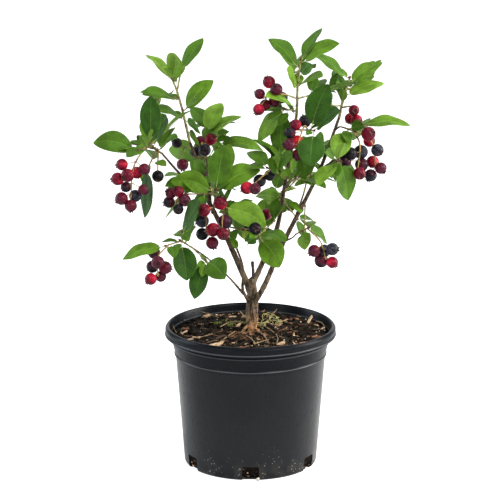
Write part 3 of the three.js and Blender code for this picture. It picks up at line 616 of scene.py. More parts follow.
def berry_seen(twig, row, seed, order, attempt):
    """A berry that shows from the front at its place, before or behind its truss as the view tells"""
    across, up, ripeness = row
    shares = [between((TRUSS_BARE_SHARE, 1), k / (TRUSS_FEET - 1)) for k in range(TRUSS_FEET)]
    feet = [twig.root(share) for share in shares]
    seen_from = [math.hypot(across - x, up - z) for x, z, _ in map(place_of, feet)]
    leaves = max(0, seen_from.index(min(seen_from)) - 1)
    foot = feet[leaves]
    seen = seen_from[leaves]
    reach = max(seen, BERRY_REACH) * (1 + BERRY_STRETCH * (attempt // 2))
    sign = -1 if (order + attempt) % 2 == 0 else 1
    back = foot.y + sign * math.sqrt(max(0.0, reach * reach - seen * seen))
    stalk = point_at((across, up, back)) - foot
    radius = BERRY_RADIUS * between(BERRY_SIZES, chance(seed, DRAW["berry"] + order))
    start = twig.foot(shares[leaves])
    return Berry(foot, stalk.normalized(), stalk.length, radius, ripeness, seed + order, start)


def is_covered(point, cover, inside=0.0):
    """Whether a point is seen within one of the leaves that show, at least so far inside its edge"""
    across, up, _ = place_of(point)
    for (from_across, from_up), (to_across, to_up), reach in cover:
        run = (to_across - from_across, to_up - from_up)
        share = (across - from_across) * run[0] + (up - from_up) * run[1]
        held = min(1, max(0, share / (run[0] ** 2 + run[1] ** 2)))
        if math.hypot(across - from_across - held * run[0], up - from_up - held * run[1]) < reach - inside:
            return True
    return False


def fit_leaf(leaf, cover):
    """Shorten a leaf until its tip is seen within the leaves that show, or to its least size"""
    for size in FITTED_SIZES:
        if is_covered(leaf.root + leaf.heading * (leaf.stalk + size * leaf.length), cover, FITTED_INSIDE):
            break
    leaf.length *= size
    leaf.width *= size


def hides_berry(leaf, berries):
    """Whether a leaf is seen from the front before one of the berries"""
    for share in TRIED_SHARES:
        across, up, back = place_of(leaf.root + leaf.heading * (leaf.stalk + share * leaf.length))
        half_width = leaf.width / 2 * math.sin(math.pi * share) ** 0.6
        for berry in berries:
            berry_across, berry_up, berry_back = place_of(berry.middle())
            apart = math.hypot(across - berry_across, up - berry_up)
            if back < berry_back and apart < half_width + BERRY_CLEAR_SHARE * berry.radius:
                return True
    return False


@dataclass
class Mass:
    """A mass of foliage: what its solid kept of the rule's twigs, leaves and berries, and finer growth"""
    plan: dict
    seed: int
    tip: tuple
    twigs: list = field(default_factory=list)
    leaves: list = field(default_factory=list)
    berries: list = field(default_factory=list)

    def __post_init__(self):
        point, heading, radius = self.tip
        route = [point_at(place) for place in self.plan["route"]]
        self.stem = Twig([point + heading * GAP, *route], TWIG_STEP, (radius, SHOOT_RADIUS), "stem")
        self.twigs.append(self.stem)
        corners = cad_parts[self.plan["name"]].data.vertices
        self.solid = KDTree(len(corners))
        for i, corner in enumerate(corners):
            self.solid.insert(corner.co / MM, i)
        self.solid.balance()

    def is_kept(self, point, reach=ON_SOLID):
        return self.solid.find(point)[2] < reach

    def keep_leaf(self, leaf, twig, share, seed, tint=""):
        leaf.foot = twig.foot(share)
        leaf.twig_heading = twig.heading(share)
        leaf.twig_radius = twig.radius(share)
        leaf.seed = seed
        leaf.tint = tint
        self.leaves.append(leaf)

    def grow_seen(self, cover):
        self.grow_on(self.stem, self.plan, self.seed, cover)
        for i, shoot in enumerate(self.plan.get("shoots", [])):
            ends = [self.stem.root(shoot["from"]), point_at(shoot["to"])]
            twig = Twig(ends, TWIG_STEP, (SHOOT_RADIUS, SHOOT_END_RADIUS))
            self.twigs.append(twig)
            self.grow_on(twig, shoot, self.seed + 10 * (i + 1), cover)

    def grow_on(self, twig, plan, seed, cover):
        for i, row in enumerate(plan.get("leaves", [])):
            root = twig.root(row[0])
            sign = -1 if chance(seed, i) < self.plan["towards"] else 1
            for way in (sign, -sign):
                leaf = leaf_seen(root, row, way)
                if self.is_kept(leaf.tip()):
                    self.keep_leaf(leaf, twig, row[0], seed + 0.01 * i, row[4] if len(row) > 4 else "")
                    cover.append((place_of(root)[:2], row[1:3], row[3] / 2 + LEAF_COVER))
                    break
        for i, truss in enumerate(plan.get("trusses", [])):
            self.add_truss(twig, truss, seed + 0.1 * i)

    def add_truss(self, shoot, truss, seed):
        points = [shoot.root(truss["from"]), *(point_at(place) for place in truss["route"])]
        twig = Twig(points, TRUSS_STEP, (TRUSS_RADIUS, TRUSS_RADIUS), "truss")
        self.twigs.append(twig)
        for i, row in enumerate(truss["berries"]):
            tries = (berry_seen(twig, row, seed, i, attempt) for attempt in range(TRIES))
            berry = next((one for one in tries if self.is_kept(one.end())), None)
            if berry:
                berry.fullness = truss.get("fullness", 1.0)
                self.berries.append(berry)

    def grow_extra(self, cover, berries):
        """Shoots that the rule places behind the leaves that show"""
        for k in range(self.plan["extra"]):
            share = between((EXTRA_FROM, 1), (k + 0.5) / self.plan["extra"])
            foot = self.stem.root(share)
            for attempt in range(TRIES):
                seed = self.seed + 100 * (k + 1) + 7 * attempt
                outward = Vector((foot.x, foot.y, 0)).normalized() * SHOOT_OUTWARD
                outward.x += between((-SHOOT_SPREAD, SHOOT_SPREAD), chance(seed, DRAW["across"]))
                outward.y += between(SHOOT_BACK, chance(seed, DRAW["back"]))
                outward.z += between(SHOOT_RISE, chance(seed, DRAW["rise"]))
                length = between(SHOOT_LENGTHS, chance(seed, DRAW["shoot"]))
                end = foot + outward.normalized() * length
                if is_covered(end, cover) and self.is_kept(end, SHOOT_END_RADIUS + ON_SOLID):
                    twig = Twig([foot, end], TWIG_STEP, (SHOOT_RADIUS, SHOOT_END_RADIUS), "extra")
                    self.twigs.append(twig)
                    self.add_rule_leaves(twig, seed, cover, berries)
                    break

    def add_rule_leaves(self, twig, seed, cover, berries):
        for i in range(EXTRA_LEAVES):
            share = between((EXTRA_FROM, 1), i / (EXTRA_LEAVES - 1))
            for attempt in range(TRIES):
                order = i + EXTRA_LEAVES * attempt
                leaf = leaf_by_rule(twig.root(share), twig.heading(share), seed, order)
                if self.is_kept(leaf.tip()) and not hides_berry(leaf, berries):
                    fit_leaf(leaf, cover)
                    self.keep_leaf(leaf, twig, share, seed + 0.01 * order, "i")
                    break

    def grow_finer(self, cover, berries):
        """Small young leaves on the shoots, only where they're seen before or behind a larger one"""
        for k, twig in enumerate([twig for twig in self.twigs if twig.kind != "truss"]):
            seed = self.seed + 1000 + 13 * k
            for i, share in enumerate(SMALL_LEAF_PLACES):
                small = between(SMALL_LEAF_SHARES, chance(seed, DRAW["small"] + i))
                for attempt in range(TRIES):
                    order = i + EXTRA_LEAVES * attempt
                    leaf = leaf_by_rule(twig.root(share), twig.heading(share), seed, order, small)
                    leaf.stalk = SMALL_STALK_SHARE * STALK_LENGTH
                    middle = leaf.root + leaf.heading * (leaf.stalk + leaf.length / 2)
                    covered = all(is_covered(point, cover, FITTED_INSIDE) for point in (leaf.tip(), middle))
                    opened = abs(leaf.face.dot((EYE - leaf.root).normalized())) > LEAST_FACING
                    if covered and opened and not hides_berry(leaf, berries):
                        self.keep_leaf(leaf, twig, share, seed + 0.01 * order, "i")
                        break


@functools.cache
def bush():
    """The boughs' paths and the masses of foliage that grow on from them"""
    boughs = {}
    masses = []
    for name, (radii, route) in BOUGHS.items():
        boughs[name] = Twig([point_at(place) for place in route], LIMB_STEP, radii, "bough")
    for i, plan in enumerate(MASSES):
        bough = boughs[plan["bough"]]
        tip = (bough.path[-1], bough.heading(1), bough.radii[1])
        masses.append(Mass(plan, i + 1, tip))
    cover = []
    for mass in masses:
        mass.grow_seen(cover)
    berries = [berry for mass in masses for berry in mass.berries]
    for mass in masses:
        mass.grow_extra(cover, berries)
    for mass in masses:
        mass.grow_finer(cover, berries)
    return boughs, masses


# Shapes

class Shape:
    """Corners, faces and pattern places of one mesh, gathered in millimetres"""

    def __init__(self):
        self.corners = []
        self.faces = []
        self.places = []

    def add(self, corners, faces, places=None):
        start = len(self.corners)
        self.corners.extend(corners)
        self.faces.extend(tuple(start + i for i in face) for face in faces)
        self.places.extend(places if places else [(0.0, 0.0)] * len(corners))

    def add_sheet(self, rows, places=None):
        """An open sheet through rows of corners"""
        width = len(rows[0])
        corners = [corner for row in rows for corner in row]
        faces = []
        for r in range(len(rows) - 1):
            for i in range(width - 1):
                low = r * width + i
                faces.append((low, low + width, low + width + 1, low + 1))
        self.add(corners, faces, places)

    def add_tube(self, rings, places=None):
        """A tube through rings of corners, with its ends closed"""
        sides = len(rings[0])
        corners = [corner for ring in rings for corner in ring]
        faces = []
        for r in range(len(rings) - 1):
            low = r * sides
            for i in range(sides):
                next_one = (i + 1) % sides
                faces.append((low + i, low + next_one, low + sides + next_one, low + sides + i))
        faces.append(tuple(reversed(range(sides))))
        faces.append(tuple((len(rings) - 1) * sides + i for i in range(sides)))
        self.add(corners, faces, places)

    def add_lathe(self, profile, foot, axis, sides, start_turn=0.0):
        """A turned form, with its profile as (radius, height along the axis) from its foot"""
        one = axis.orthogonal().normalized()
        other = axis.cross(one)
        rings = []
        for radius, height in profile:
            centre = foot + axis * height
            ring = []
            for i in range(sides):
                turn = start_turn + math.tau * i / sides
                ring.append(centre + (one * math.cos(turn) + other * math.sin(turn)) * radius)
            rings.append(ring)
        places = [(i / sides, r / (len(profile) - 1)) for r in range(len(profile)) for i in range(sides)]
        self.add_tube(rings, places)


def path_rings(path, radii, sides, wobble=0.0, seed=0):
    """Rings of corners round a path, turned as little as the path allows"""
    rings = []
    heading = (path[1] - path[0]).normalized()
    one = heading.orthogonal().normalized()
    for i, centre in enumerate(path):
        heading = (path[min(len(path) - 1, i + 1)] - path[max(0, i - 1)]).normalized()
        one = (one - heading * one.dot(heading)).normalized()
        other = heading.cross(one)
        ring = []
        for side in range(sides):
            turn = math.tau * side / sides
            uneven = 1 + wobble * (2 * chance(seed + 0.37 * i, side) - 1)
            ring.append(centre + (one * math.cos(turn) + other * math.sin(turn)) * radii[i] * uneven)
        rings.append(ring)
    return rings


def bent_path(start, start_heading, end, end_heading, count):
    """Points of a smooth path that leaves and arrives along two headings"""
    reach = (end - start).length * PATH_PULL
    leave = start + start_heading * reach
    arrive = end - end_heading * reach
    path = []
    for i in range(count + 1):
        part = i / count
        rest = 1 - part
        point = start * rest ** 3 + leave * 3 * part * rest ** 2
        point += arrive * 3 * part ** 2 * rest
        point += end * part ** 3
        path.append(point)
    return path


def link(name, data):
    """An object with the data given, in the scene"""
    thing = bpy.data.objects.new(name, data)
    bpy.context.scene.collection.objects.link(thing)
    return thing


def make_object(name, mesh, material, nodes, smooth=True):
    """An object of one mesh that rides on the body and stands for its nodes"""
    piece = link(name, mesh)
    mesh.materials.clear()
    mesh.materials.append(material)
    mesh.polygons.foreach_set("use_smooth", [smooth] * len(mesh.polygons))
    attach(piece, "root")
    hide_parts(*nodes)


def mesh_of(name, shape):
    mesh = bpy.data.meshes.new(name)
    mesh.from_pydata([corner * MM for corner in shape.corners], [], shape.faces)
    corner_of = np.zeros(len(mesh.loops), int)
    mesh.loops.foreach_get("vertex_index", corner_of)
    layer = mesh.uv_layers.new(name="Pattern")
    layer.data.foreach_set("uv", np.array(shape.places, float)[corner_of].ravel())
    mesh.update()
    return mesh


def make_piece(name, shape, material, nodes, smooth=True):
    make_object(name, mesh_of(name, shape), material, nodes, smooth)


def with_modifiers(name, mesh, *steps):
    """A new mesh made from one mesh by modifiers, each given as its kind and its settings"""
    work = link(name + "_work", mesh)
    for kind, settings in steps:
        modifier = work.modifiers.new(kind.lower(), kind)
        for key, value in settings.items():
            setattr(modifier, key, value)
    graph = bpy.context.evaluated_depsgraph_get()
    made = bpy.data.meshes.new_from_object(work.evaluated_get(graph))
    bpy.data.objects.remove(work)
    return made


# Node trees

class Tree:
    """Adds nodes to one tree, and joins them or sets their values"""

    def __init__(self, tree):
        self.tree = tree

    def node(self, kind, **settings):
        node = self.tree.nodes.new(kind)
        for key, value in settings.items():
            setattr(node, key, value)
        return node

    def put(self, socket, value):
        if isinstance(value, bpy.types.NodeSocket):
            self.tree.links.new(value, socket)
        else:
            socket.default_value = value

    def math(self, operation, one, other=0.0, third=0.0):
        node = self.node("ShaderNodeMath", operation=operation)
        self.put(node.inputs[0], one)
        self.put(node.inputs[1], other)
        self.put(node.inputs[2], third)
        return node.outputs[0]

    def mix(self, share, one, other):
        """A mix of two colours, which have sockets 6 and 7 of the node and its output 2"""
        node = self.node("ShaderNodeMix", data_type="RGBA")
        self.put(node.inputs[0], share)
        self.put(node.inputs[6], one)
        self.put(node.inputs[7], other)
        return node.outputs[2]

    def mix_values(self, share, one, other):
        """A mix of two values, which have sockets 2 and 3 of the node and its output 0"""
        node = self.node("ShaderNodeMix", data_type="FLOAT")
        self.put(node.inputs[0], share)
        self.put(node.inputs[2], one)
        self.put(node.inputs[3], other)
        return node.outputs[0]

    def stretched(self, place, stretch):
        node = self.node("ShaderNodeMapping")
        self.put(node.inputs[0], place)
        self.put(node.inputs[3], stretch)
        return node.outputs[0]

    def noise(self, place, scale, detail=3.0, roughness=0.55):
        node = self.node("ShaderNodeTexNoise")
        self.put(node.inputs["Vector"], place)
        self.put(node.inputs["Scale"], scale)
        self.put(node.inputs["Detail"], detail)
        self.put(node.inputs["Roughness"], roughness)
        return node.outputs[0]

    def cells(self, place, scale):
        node = self.node("ShaderNodeTexVoronoi")
        self.put(node.inputs["Vector"], place)
        self.put(node.inputs["Scale"], scale)
        return node.outputs["Distance"]

    def steps(self, value, low, high, to_low=0.0, to_high=1.0):
        node = self.node("ShaderNodeMapRange", interpolation_type="SMOOTHSTEP")
        self.put(node.inputs[0], value)
        self.put(node.inputs[1], low)
        self.put(node.inputs[2], high)
        self.put(node.inputs[3], to_low)
        self.put(node.inputs[4], to_high)
        return node.outputs[0]

    def parts(self, vector):
        node = self.node("ShaderNodeSeparateXYZ")
        self.put(node.inputs[0], vector)
        return node.outputs

    def places(self):
        """The place on the object, in metres, and the place in the piece's own pattern"""
        node = self.node("ShaderNodeTexCoord")
        return node.outputs["Object"], node.outputs["UV"]

    def group(self, tree, **values):
        node = self.node("ShaderNodeGroup", node_tree=tree)
        for name, value in values.items():
            self.put(node.inputs[name.replace("_", " ")], value)
        return node.outputs

    def relief(self, height, distance, strength=1.0):
        node = self.node("ShaderNodeBump")
        node.inputs["Strength"].default_value = strength
        node.inputs["Distance"].default_value = distance
        self.put(node.inputs["Height"], height)
        return node.outputs[0]


SOCKETS = {"colour": "NodeSocketColor", "value": "NodeSocketFloat", "vector": "NodeSocketVector"}
MID_GREY = (0.5, 0.5, 0.5, 1)


def effect(name, inputs, outputs, build):
    """A node group with named inputs and outputs, built once"""
    if name in bpy.data.node_groups:
        return bpy.data.node_groups[name]
    tree = bpy.data.node_groups.new(name, "ShaderNodeTree")
    for label, (kind, value) in inputs.items():
        socket = tree.interface.new_socket(label, in_out="INPUT", socket_type=SOCKETS[kind])
        if value is not None:
            socket.default_value = value
    for label, kind in outputs.items():
        tree.interface.new_socket(label, in_out="OUTPUT", socket_type=SOCKETS[kind])
    nodes = Tree(tree)
    entry = nodes.node("NodeGroupInput").outputs
    made = build(nodes, entry)
    leave = nodes.node("NodeGroupOutput")
    for label, value in made.items():
        nodes.put(leave.inputs[label], value)
    return tree


def mottle():
    """Soft patches of a second colour"""
    def build(nodes, entry):
        patches = nodes.noise(entry["Place"], entry["Scale"], 4.0, 0.6)
        mask = nodes.steps(patches, entry["Low"], entry["High"])
        return {"Colour": nodes.mix(mask, entry["Base"], entry["Patch"]), "Mask": mask}

    inputs = {
        "Place": ("vector", None), "Base": ("colour", MID_GREY), "Patch": ("colour", MID_GREY),
        "Scale": ("value", 100.0), "Low": ("value", 0.4), "High": ("value", 0.65),
    }
    return effect("Mottle", inputs, {"Colour": "colour", "Mask": "value"}, build)


def grain():
    """Long fibres along one direction of the pattern"""
    def build(nodes, entry):
        drawn = nodes.stretched(entry["Place"], entry["Stretch"])
        fibres = nodes.noise(drawn, entry["Scale"], 4.0, 0.65)
        mask = nodes.steps(fibres, 0.38, 0.64)
        return {"Colour": nodes.mix(mask, entry["Base"], entry["Fibre"]), "Height": fibres}

    inputs = {
        "Place": ("vector", None), "Stretch": ("vector", (1, 1, 1)), "Scale": ("value", 10.0),
        "Base": ("colour", MID_GREY), "Fibre": ("colour", MID_GREY),
    }
    return effect("Grain", inputs, {"Colour": "colour", "Height": "value"}, build)


def leaf_pattern():
    """A leaf's soft mottling, faint side veins, midrib and fine pale edge, by the place on the leaf"""
    def build(nodes, entry):
        across, forward, _ = nodes.parts(entry["Place"])
        off = nodes.math("ABSOLUTE", nodes.math("SUBTRACT", nodes.math("MULTIPLY", across, 2.0), 1.0))
        slant = nodes.math("MULTIPLY", nodes.math("POWER", off, 1.3), entry["Slant"])
        phase = nodes.math("SUBTRACT", nodes.math("MULTIPLY", forward, entry["Veins"]), slant)
        nearness = nodes.math("ABSOLUTE", nodes.math("SUBTRACT", nodes.math("FRACT", phase), 0.5))
        fade = nodes.steps(off, 0.7, 0.95, 1.0, 0.0)
        veins = nodes.math("MULTIPLY", nodes.steps(nearness, 0.02, 0.26, 1.0, 0.0), fade)
        midrib = nodes.steps(off, 0.01, nodes.math("MULTIPLY_ADD", forward, -0.045, 0.075), 1.0, 0.0)
        edge = nodes.steps(off, 0.93, 1.0)
        patches = nodes.steps(nodes.noise(entry["Point"], 75.0, 5.0, 0.65), 0.38, 0.62)
        fine = nodes.noise(entry["Point"], 1300.0, 2.0)
        blade = nodes.mix(nodes.math("MULTIPLY", patches, 0.7), entry["Blade"], entry["Shade"])
        blade = nodes.mix(nodes.math("MULTIPLY", veins, entry["Vein share"]), blade, entry["Vein"])
        blade = nodes.mix(nodes.math("MULTIPLY", midrib, 0.38), blade, entry["Vein"])
        upper = nodes.mix(nodes.math("MULTIPLY", edge, 0.4), blade, entry["Vein"])
        ribs = nodes.math("MULTIPLY", nodes.math("MAXIMUM", veins, midrib), 0.45)
        under = nodes.mix(ribs, entry["Under"], entry["Vein"])
        dips = nodes.math("MAXIMUM", nodes.math("MULTIPLY", veins, 0.22), midrib)
        height = nodes.math("SUBTRACT", nodes.math("MULTIPLY", fine, 0.3), dips)
        gloss = nodes.steps(fine, 0.3, 0.7, 0.44, 0.6)
        return {"Upper": upper, "Under": under, "Roughness": gloss, "Height": height}

    inputs = {
        "Place": ("vector", None), "Point": ("vector", None), "Blade": ("colour", (0.1, 0.2, 0.03, 1)),
        "Shade": ("colour", (0.06, 0.15, 0.02, 1)), "Vein": ("colour", (0.3, 0.42, 0.12, 1)),
        "Under": ("colour", (0.2, 0.3, 0.12, 1)), "Veins": ("value", 9.0), "Slant": ("value", 2.4),
        "Vein share": ("value", 0.05),
    }
    outputs = {"Upper": "colour", "Under": "colour", "Roughness": "value", "Height": "value"}
    return effect("Leaf pattern", inputs, outputs, build)


def fruit_skin():
    """A berry's skin, darker towards its crown end as painted shade and in random patches, with its waxy
    bloom and fine pale dots
    """
    def build(nodes, entry):
        _, forward, _ = nodes.parts(entry["Place"])
        cloud = nodes.noise(entry["Point"], 130.0, 3.0)
        # The second colour gathers towards the crown end, which hangs lowest: painted shade on the berry's
        # lower side, broken up by random patches
        ripe = nodes.steps(nodes.math("ADD", cloud, nodes.math("MULTIPLY", forward, 0.7)), 0.56, 0.9)
        skin = nodes.mix(ripe, entry["Skin"], entry["Blush"])
        wax = nodes.steps(nodes.noise(entry["Point"], 260.0, 5.0, 0.7), 0.42, 0.68)
        bloom = nodes.math("MULTIPLY", wax, entry["Bloom share"])
        dots = nodes.steps(nodes.cells(entry["Point"], 900.0), 0.1, 0.2, 0.12, 0.0)
        colour = nodes.mix(bloom, nodes.mix(dots, skin, entry["Dots"]), entry["Bloom"])
        gloss = nodes.math("MULTIPLY_ADD", bloom, 0.4, 0.3)
        return {"Colour": colour, "Roughness": gloss, "Height": nodes.noise(entry["Point"], 700.0, 2.0)}

    inputs = {
        "Place": ("vector", None), "Point": ("vector", None), "Skin": ("colour", (0.4, 0.01, 0.02, 1)),
        "Blush": ("colour", (0.2, 0.005, 0.02, 1)), "Bloom": ("colour", (0.3, 0.3, 0.42, 1)),
        "Dots": ("colour", (0.5, 0.2, 0.15, 1)), "Bloom share": ("value", 0.2),
    }
    return effect("Fruit skin", inputs, {"Colour": "colour", "Roughness": "value", "Height": "value"}, build)


def bark_skin():
    """Bark with long plates, tan flakes, pale specks and dark cracks"""
    def build(nodes, entry):
        drawn = nodes.stretched(entry["Point"], (1.0, 1.0, 0.35))
        plates = nodes.noise(drawn, entry["Scale"], 6.0, 0.68)
        flakes = nodes.noise(drawn, nodes.math("MULTIPLY", entry["Scale"], 0.45), 4.0, 0.6)
        specks = nodes.steps(nodes.noise(entry["Point"], 1100.0, 2.0), 0.6, 0.7)
        colour = nodes.mix(nodes.steps(plates, 0.4, 0.56), entry["Crack"], entry["Bark"])
        flaked = nodes.math("MULTIPLY", nodes.steps(flakes, 0.55, 0.66), 0.7)
        colour = nodes.mix(flaked, colour, entry["Plate"])
        colour = nodes.mix(nodes.steps(plates, 0.32, 0.42, 0.85, 0.0), colour, entry["Crack"])
        colour = nodes.mix(nodes.math("MULTIPLY", specks, 0.55), colour, entry["Speck"])
        height = nodes.math("ADD", plates, nodes.math("MULTIPLY", specks, 0.2))
        return {"Colour": colour, "Roughness": nodes.steps(plates, 0.3, 0.7, 0.9, 0.62), "Height": height}

    inputs = {
        "Point": ("vector", None), "Scale": ("value", 300.0), "Bark": ("colour", (0.1, 0.08, 0.05, 1)),
        "Crack": ("colour", (0.03, 0.02, 0.015, 1)), "Plate": ("colour", (0.2, 0.15, 0.1, 1)),
        "Speck": ("colour", (0.35, 0.3, 0.22, 1)),
    }
    return effect("Bark skin", inputs, {"Colour": "colour", "Roughness": "value", "Height": "value"}, build)


# Materials

def new_material(name, **constants):
    """A material with its shader, whose constant values are set on the shader itself"""
    material = bpy.data.materials.new(name)
    material.use_nodes = True
    nodes = Tree(material.node_tree)
    shader = material.node_tree.nodes["Principled BSDF"]
    for label, value in constants.items():
        shader.inputs[label.replace("_", " ")].default_value = value
    return material, nodes, shader.inputs


def rgba(colour):
    return (*colour, 1.0)


def toned(factor, colour):
    """A colour made lighter or darker by a factor"""
    return [factor * part for part in colour]


def leaf_material(name, blade, shade, under, vein):
    material, nodes, shader = new_material(name, Specular_IOR_Level=0.13)
    point, place = nodes.places()
    pattern = nodes.group(
        leaf_pattern(), Place=place, Point=point, Blade=rgba(blade), Shade=rgba(shade), Under=rgba(under),
        Vein=rgba(vein),
    )
    facing = nodes.node("ShaderNodeNewGeometry").outputs["Backfacing"]
    nodes.put(shader["Base Color"], nodes.mix(facing, pattern["Upper"], pattern["Under"]))
    nodes.put(shader["Roughness"], pattern["Roughness"])
    nodes.put(shader["Normal"], nodes.relief(pattern["Height"], 0.00022, 0.8))
    return material


def fruit_material(name, skin, blush_and_shade, bloom_share, bloom):
    material, nodes, shader = new_material(name, Specular_IOR_Level=0.14)
    point, place = nodes.places()
    pattern = nodes.group(
        fruit_skin(), Place=place, Point=point, Skin=rgba(skin), Blush=rgba(blush_and_shade), Bloom=rgba(bloom),
        Bloom_share=bloom_share,
    )
    nodes.put(shader["Base Color"], pattern["Colour"])
    nodes.put(shader["Roughness"], pattern["Roughness"])
    nodes.put(shader["Normal"], nodes.relief(pattern["Height"], 0.00015, 0.5))
    return material


# Bark, cracks, plates and specks of three small finishes
DEAD_WOOD = ((0.045, 0.03, 0.022), (0.012, 0.009, 0.008), (0.09, 0.065, 0.045), (0.14, 0.1, 0.08))
BUD_SCALES = ((0.13, 0.05, 0.03), (0.05, 0.02, 0.015), (0.2, 0.1, 0.05), (0.2, 0.12, 0.07))
DRIED_CROWN = ((0.06, 0.025, 0.02), (0.02, 0.01, 0.01), (0.12, 0.06, 0.05), (0.15, 0.09, 0.07))


def skin_material(name, scale, bark, crack, plate, speck, relief):
    """Bark or green skin that is alike all along"""
    material, nodes, shader = new_material(name, Specular_IOR_Level=0.3)
    point, _ = nodes.places()
    pattern = nodes.group(
        bark_skin(), Point=point, Scale=scale, Bark=rgba(bark), Crack=rgba(crack), Plate=rgba(plate),
        Speck=rgba(speck),
    )
    nodes.put(shader["Base Color"], pattern["Colour"])
    nodes.put(shader["Roughness"], pattern["Roughness"])
    nodes.put(shader["Normal"], nodes.relief(pattern["Height"], relief))
    return material


# Heights in metres between which the bark gets young, and between which the tan bark of the foot ends
YOUNG_BARK_LEVELS = (0.22, 0.3)
FOOT_BARK_LEVELS = (0.172, 0.208)


def limb_material(colours):
    """Bark of the trunk and boughs: tan at the foot, grey-brown above and greener towards the tips"""
    material, nodes, shader = new_material("limb_bark", Specular_IOR_Level=0.25)
    point, _ = nodes.places()
    old = nodes.group(
        bark_skin(), Point=point, Scale=260.0, Bark=rgba(colours.bark), Crack=rgba(colours.bark_crack),
        Plate=rgba(colours.bark_plate), Speck=rgba(colours.bark_speck),
    )
    young = nodes.group(
        bark_skin(), Point=point, Scale=420.0, Bark=rgba(colours.young_bark), Crack=rgba(colours.bark_crack),
        Plate=rgba(colours.bark), Speck=rgba(colours.bark_plate),
    )
    height = nodes.parts(point)[2]
    wander = nodes.math("MULTIPLY", nodes.noise(point, 45.0, 3.0), 0.06)
    level = nodes.math("ADD", height, wander)
    upper = nodes.mix(nodes.steps(level, *YOUNG_BARK_LEVELS), old["Colour"], young["Colour"])
    low = nodes.steps(level, *FOOT_BARK_LEVELS, 1.0, 0.0)
    foot = nodes.math("MULTIPLY", low, nodes.steps(old["Height"], 0.38, 0.58))
    nodes.put(shader["Base Color"], nodes.mix(foot, upper, rgba(colours.foot_bark)))
    nodes.put(shader["Roughness"], old["Roughness"])
    nodes.put(shader["Normal"], nodes.relief(old["Height"], 0.0005))
    return material


def chip_material(name, base, paler):
    """Split bark or wood with its fibres along each chip, so many times paler than the rest"""
    material, nodes, shader = new_material(name, Specular_IOR_Level=0.12)
    point, place = nodes.places()
    fibres = nodes.group(
        grain(), Place=place, Stretch=(0.35, 4.0, 1.0), Scale=3.0, Base=rgba(base),
        Fibre=rgba(toned(paler, base)),
    )
    patches = nodes.group(
        mottle(), Place=point, Base=fibres["Colour"], Patch=rgba(toned(0.45, base)), Scale=160.0, Low=0.42,
        High=0.66,
    )
    nodes.put(shader["Base Color"], patches["Colour"])
    nodes.put(shader["Roughness"], nodes.steps(fibres["Height"], 0.3, 0.7, 0.95, 0.7))
    nodes.put(shader["Normal"], nodes.relief(fibres["Height"], 0.0006))
    return material


def ground_material(colours):
    """Fine dark crumbs between the chips"""
    material, nodes, shader = new_material("mix_ground", Specular_IOR_Level=0.06)
    point, _ = nodes.places()
    patches = nodes.group(
        mottle(), Place=point, Base=rgba(colours.mix_dark), Patch=rgba(toned(2.6, colours.mix_dark)),
        Scale=420.0, Low=0.5, High=0.7,
    )
    crumbs = nodes.cells(point, 700.0)
    nodes.put(shader["Base Color"], patches["Colour"])
    nodes.put(shader["Roughness"], nodes.steps(crumbs, 0.1, 0.7, 0.98, 0.8))
    nodes.put(shader["Normal"], nodes.relief(crumbs, 0.001))
    return material


# Heights in metres over which the grit on the pot starts, over which it ends, and over which the dust ends
GRIT_START = (0.002, 0.006)
GRIT_END = (0.006, 0.045)
FILM_END = (0.0, 0.03)
# The size of a grain of grit as a part of its cell: the least, and how much more where grit gathers
GRIT_LEAST = 0.035
GRIT_MORE = 0.17


def plastic_material(colours):
    """Satin black plastic with fine scuffs, painted highlight lines along the lip and ridges, and dust and
    grit that gather low on the wall
    """
    material, nodes, shader = new_material(
        "pot_plastic", Specular_IOR_Level=0.04, Coat_Roughness=0.28, Coat_IOR=1.35,
    )
    point, _ = nodes.places()
    height = nodes.parts(point)[2]
    cloud = nodes.group(
        mottle(), Place=point, Base=rgba(colours.plastic), Patch=rgba(colours.plastic_worn), Scale=28.0,
        Low=0.35, High=0.75,
    )
    # Pale lines at the lip's foot and at the ridges are painted highlights
    rubbed = 0.0
    for level in RIDGE_LEVELS:
        off = nodes.math("ABSOLUTE", nodes.math("SUBTRACT", height, level * MM))
        rubbed = nodes.math("MAXIMUM", rubbed, nodes.steps(off, 0.0003, 0.0008, 1.0, 0.0))
    plastic = nodes.mix(rubbed, cloud["Colour"], rgba(colours.ridge_highlight))

    strewn = nodes.steps(nodes.noise(point, 55.0, 3.0), 0.42, 0.6)
    falling = nodes.steps(height, *GRIT_END, 1.0, 0.0)
    low = nodes.math("MULTIPLY", falling, nodes.steps(height, *GRIT_START))
    size = nodes.math("MULTIPLY_ADD", nodes.math("MULTIPLY", low, strewn), GRIT_MORE, GRIT_LEAST)
    grains = nodes.math("LESS_THAN", nodes.cells(point, 330.0), size)
    film = nodes.math("MULTIPLY", nodes.steps(height, *FILM_END, 0.04, 0.0), strewn)
    dust = nodes.math("MAXIMUM", nodes.math("MULTIPLY", grains, 0.75), film)
    nodes.put(shader["Base Color"], nodes.mix(dust, plastic, rgba(colours.dust)))

    collar = (POT_HEIGHT - COLLAR_DEPTH) * MM
    duller_collar = nodes.steps(height, collar - 0.005, collar + 0.002, 1.0, 0.4)
    gloss = nodes.math("MULTIPLY", duller_collar, nodes.steps(height, 0.02, 0.11, 0.78, 0.56))
    nodes.put(shader["Coat Weight"], gloss)
    scuffs = nodes.noise(nodes.stretched(point, (1.0, 1.0, 0.12)), 900.0, 3.0, 0.6)
    satin = nodes.steps(scuffs, 0.35, 0.7, 0.26, 0.38)
    nodes.put(shader["Roughness"], nodes.mix_values(dust, satin, 0.9))
    rise = nodes.math("ADD", scuffs, nodes.math("MULTIPLY", dust, 2.0))
    nodes.put(shader["Normal"], nodes.relief(rise, 0.00006))
    return material


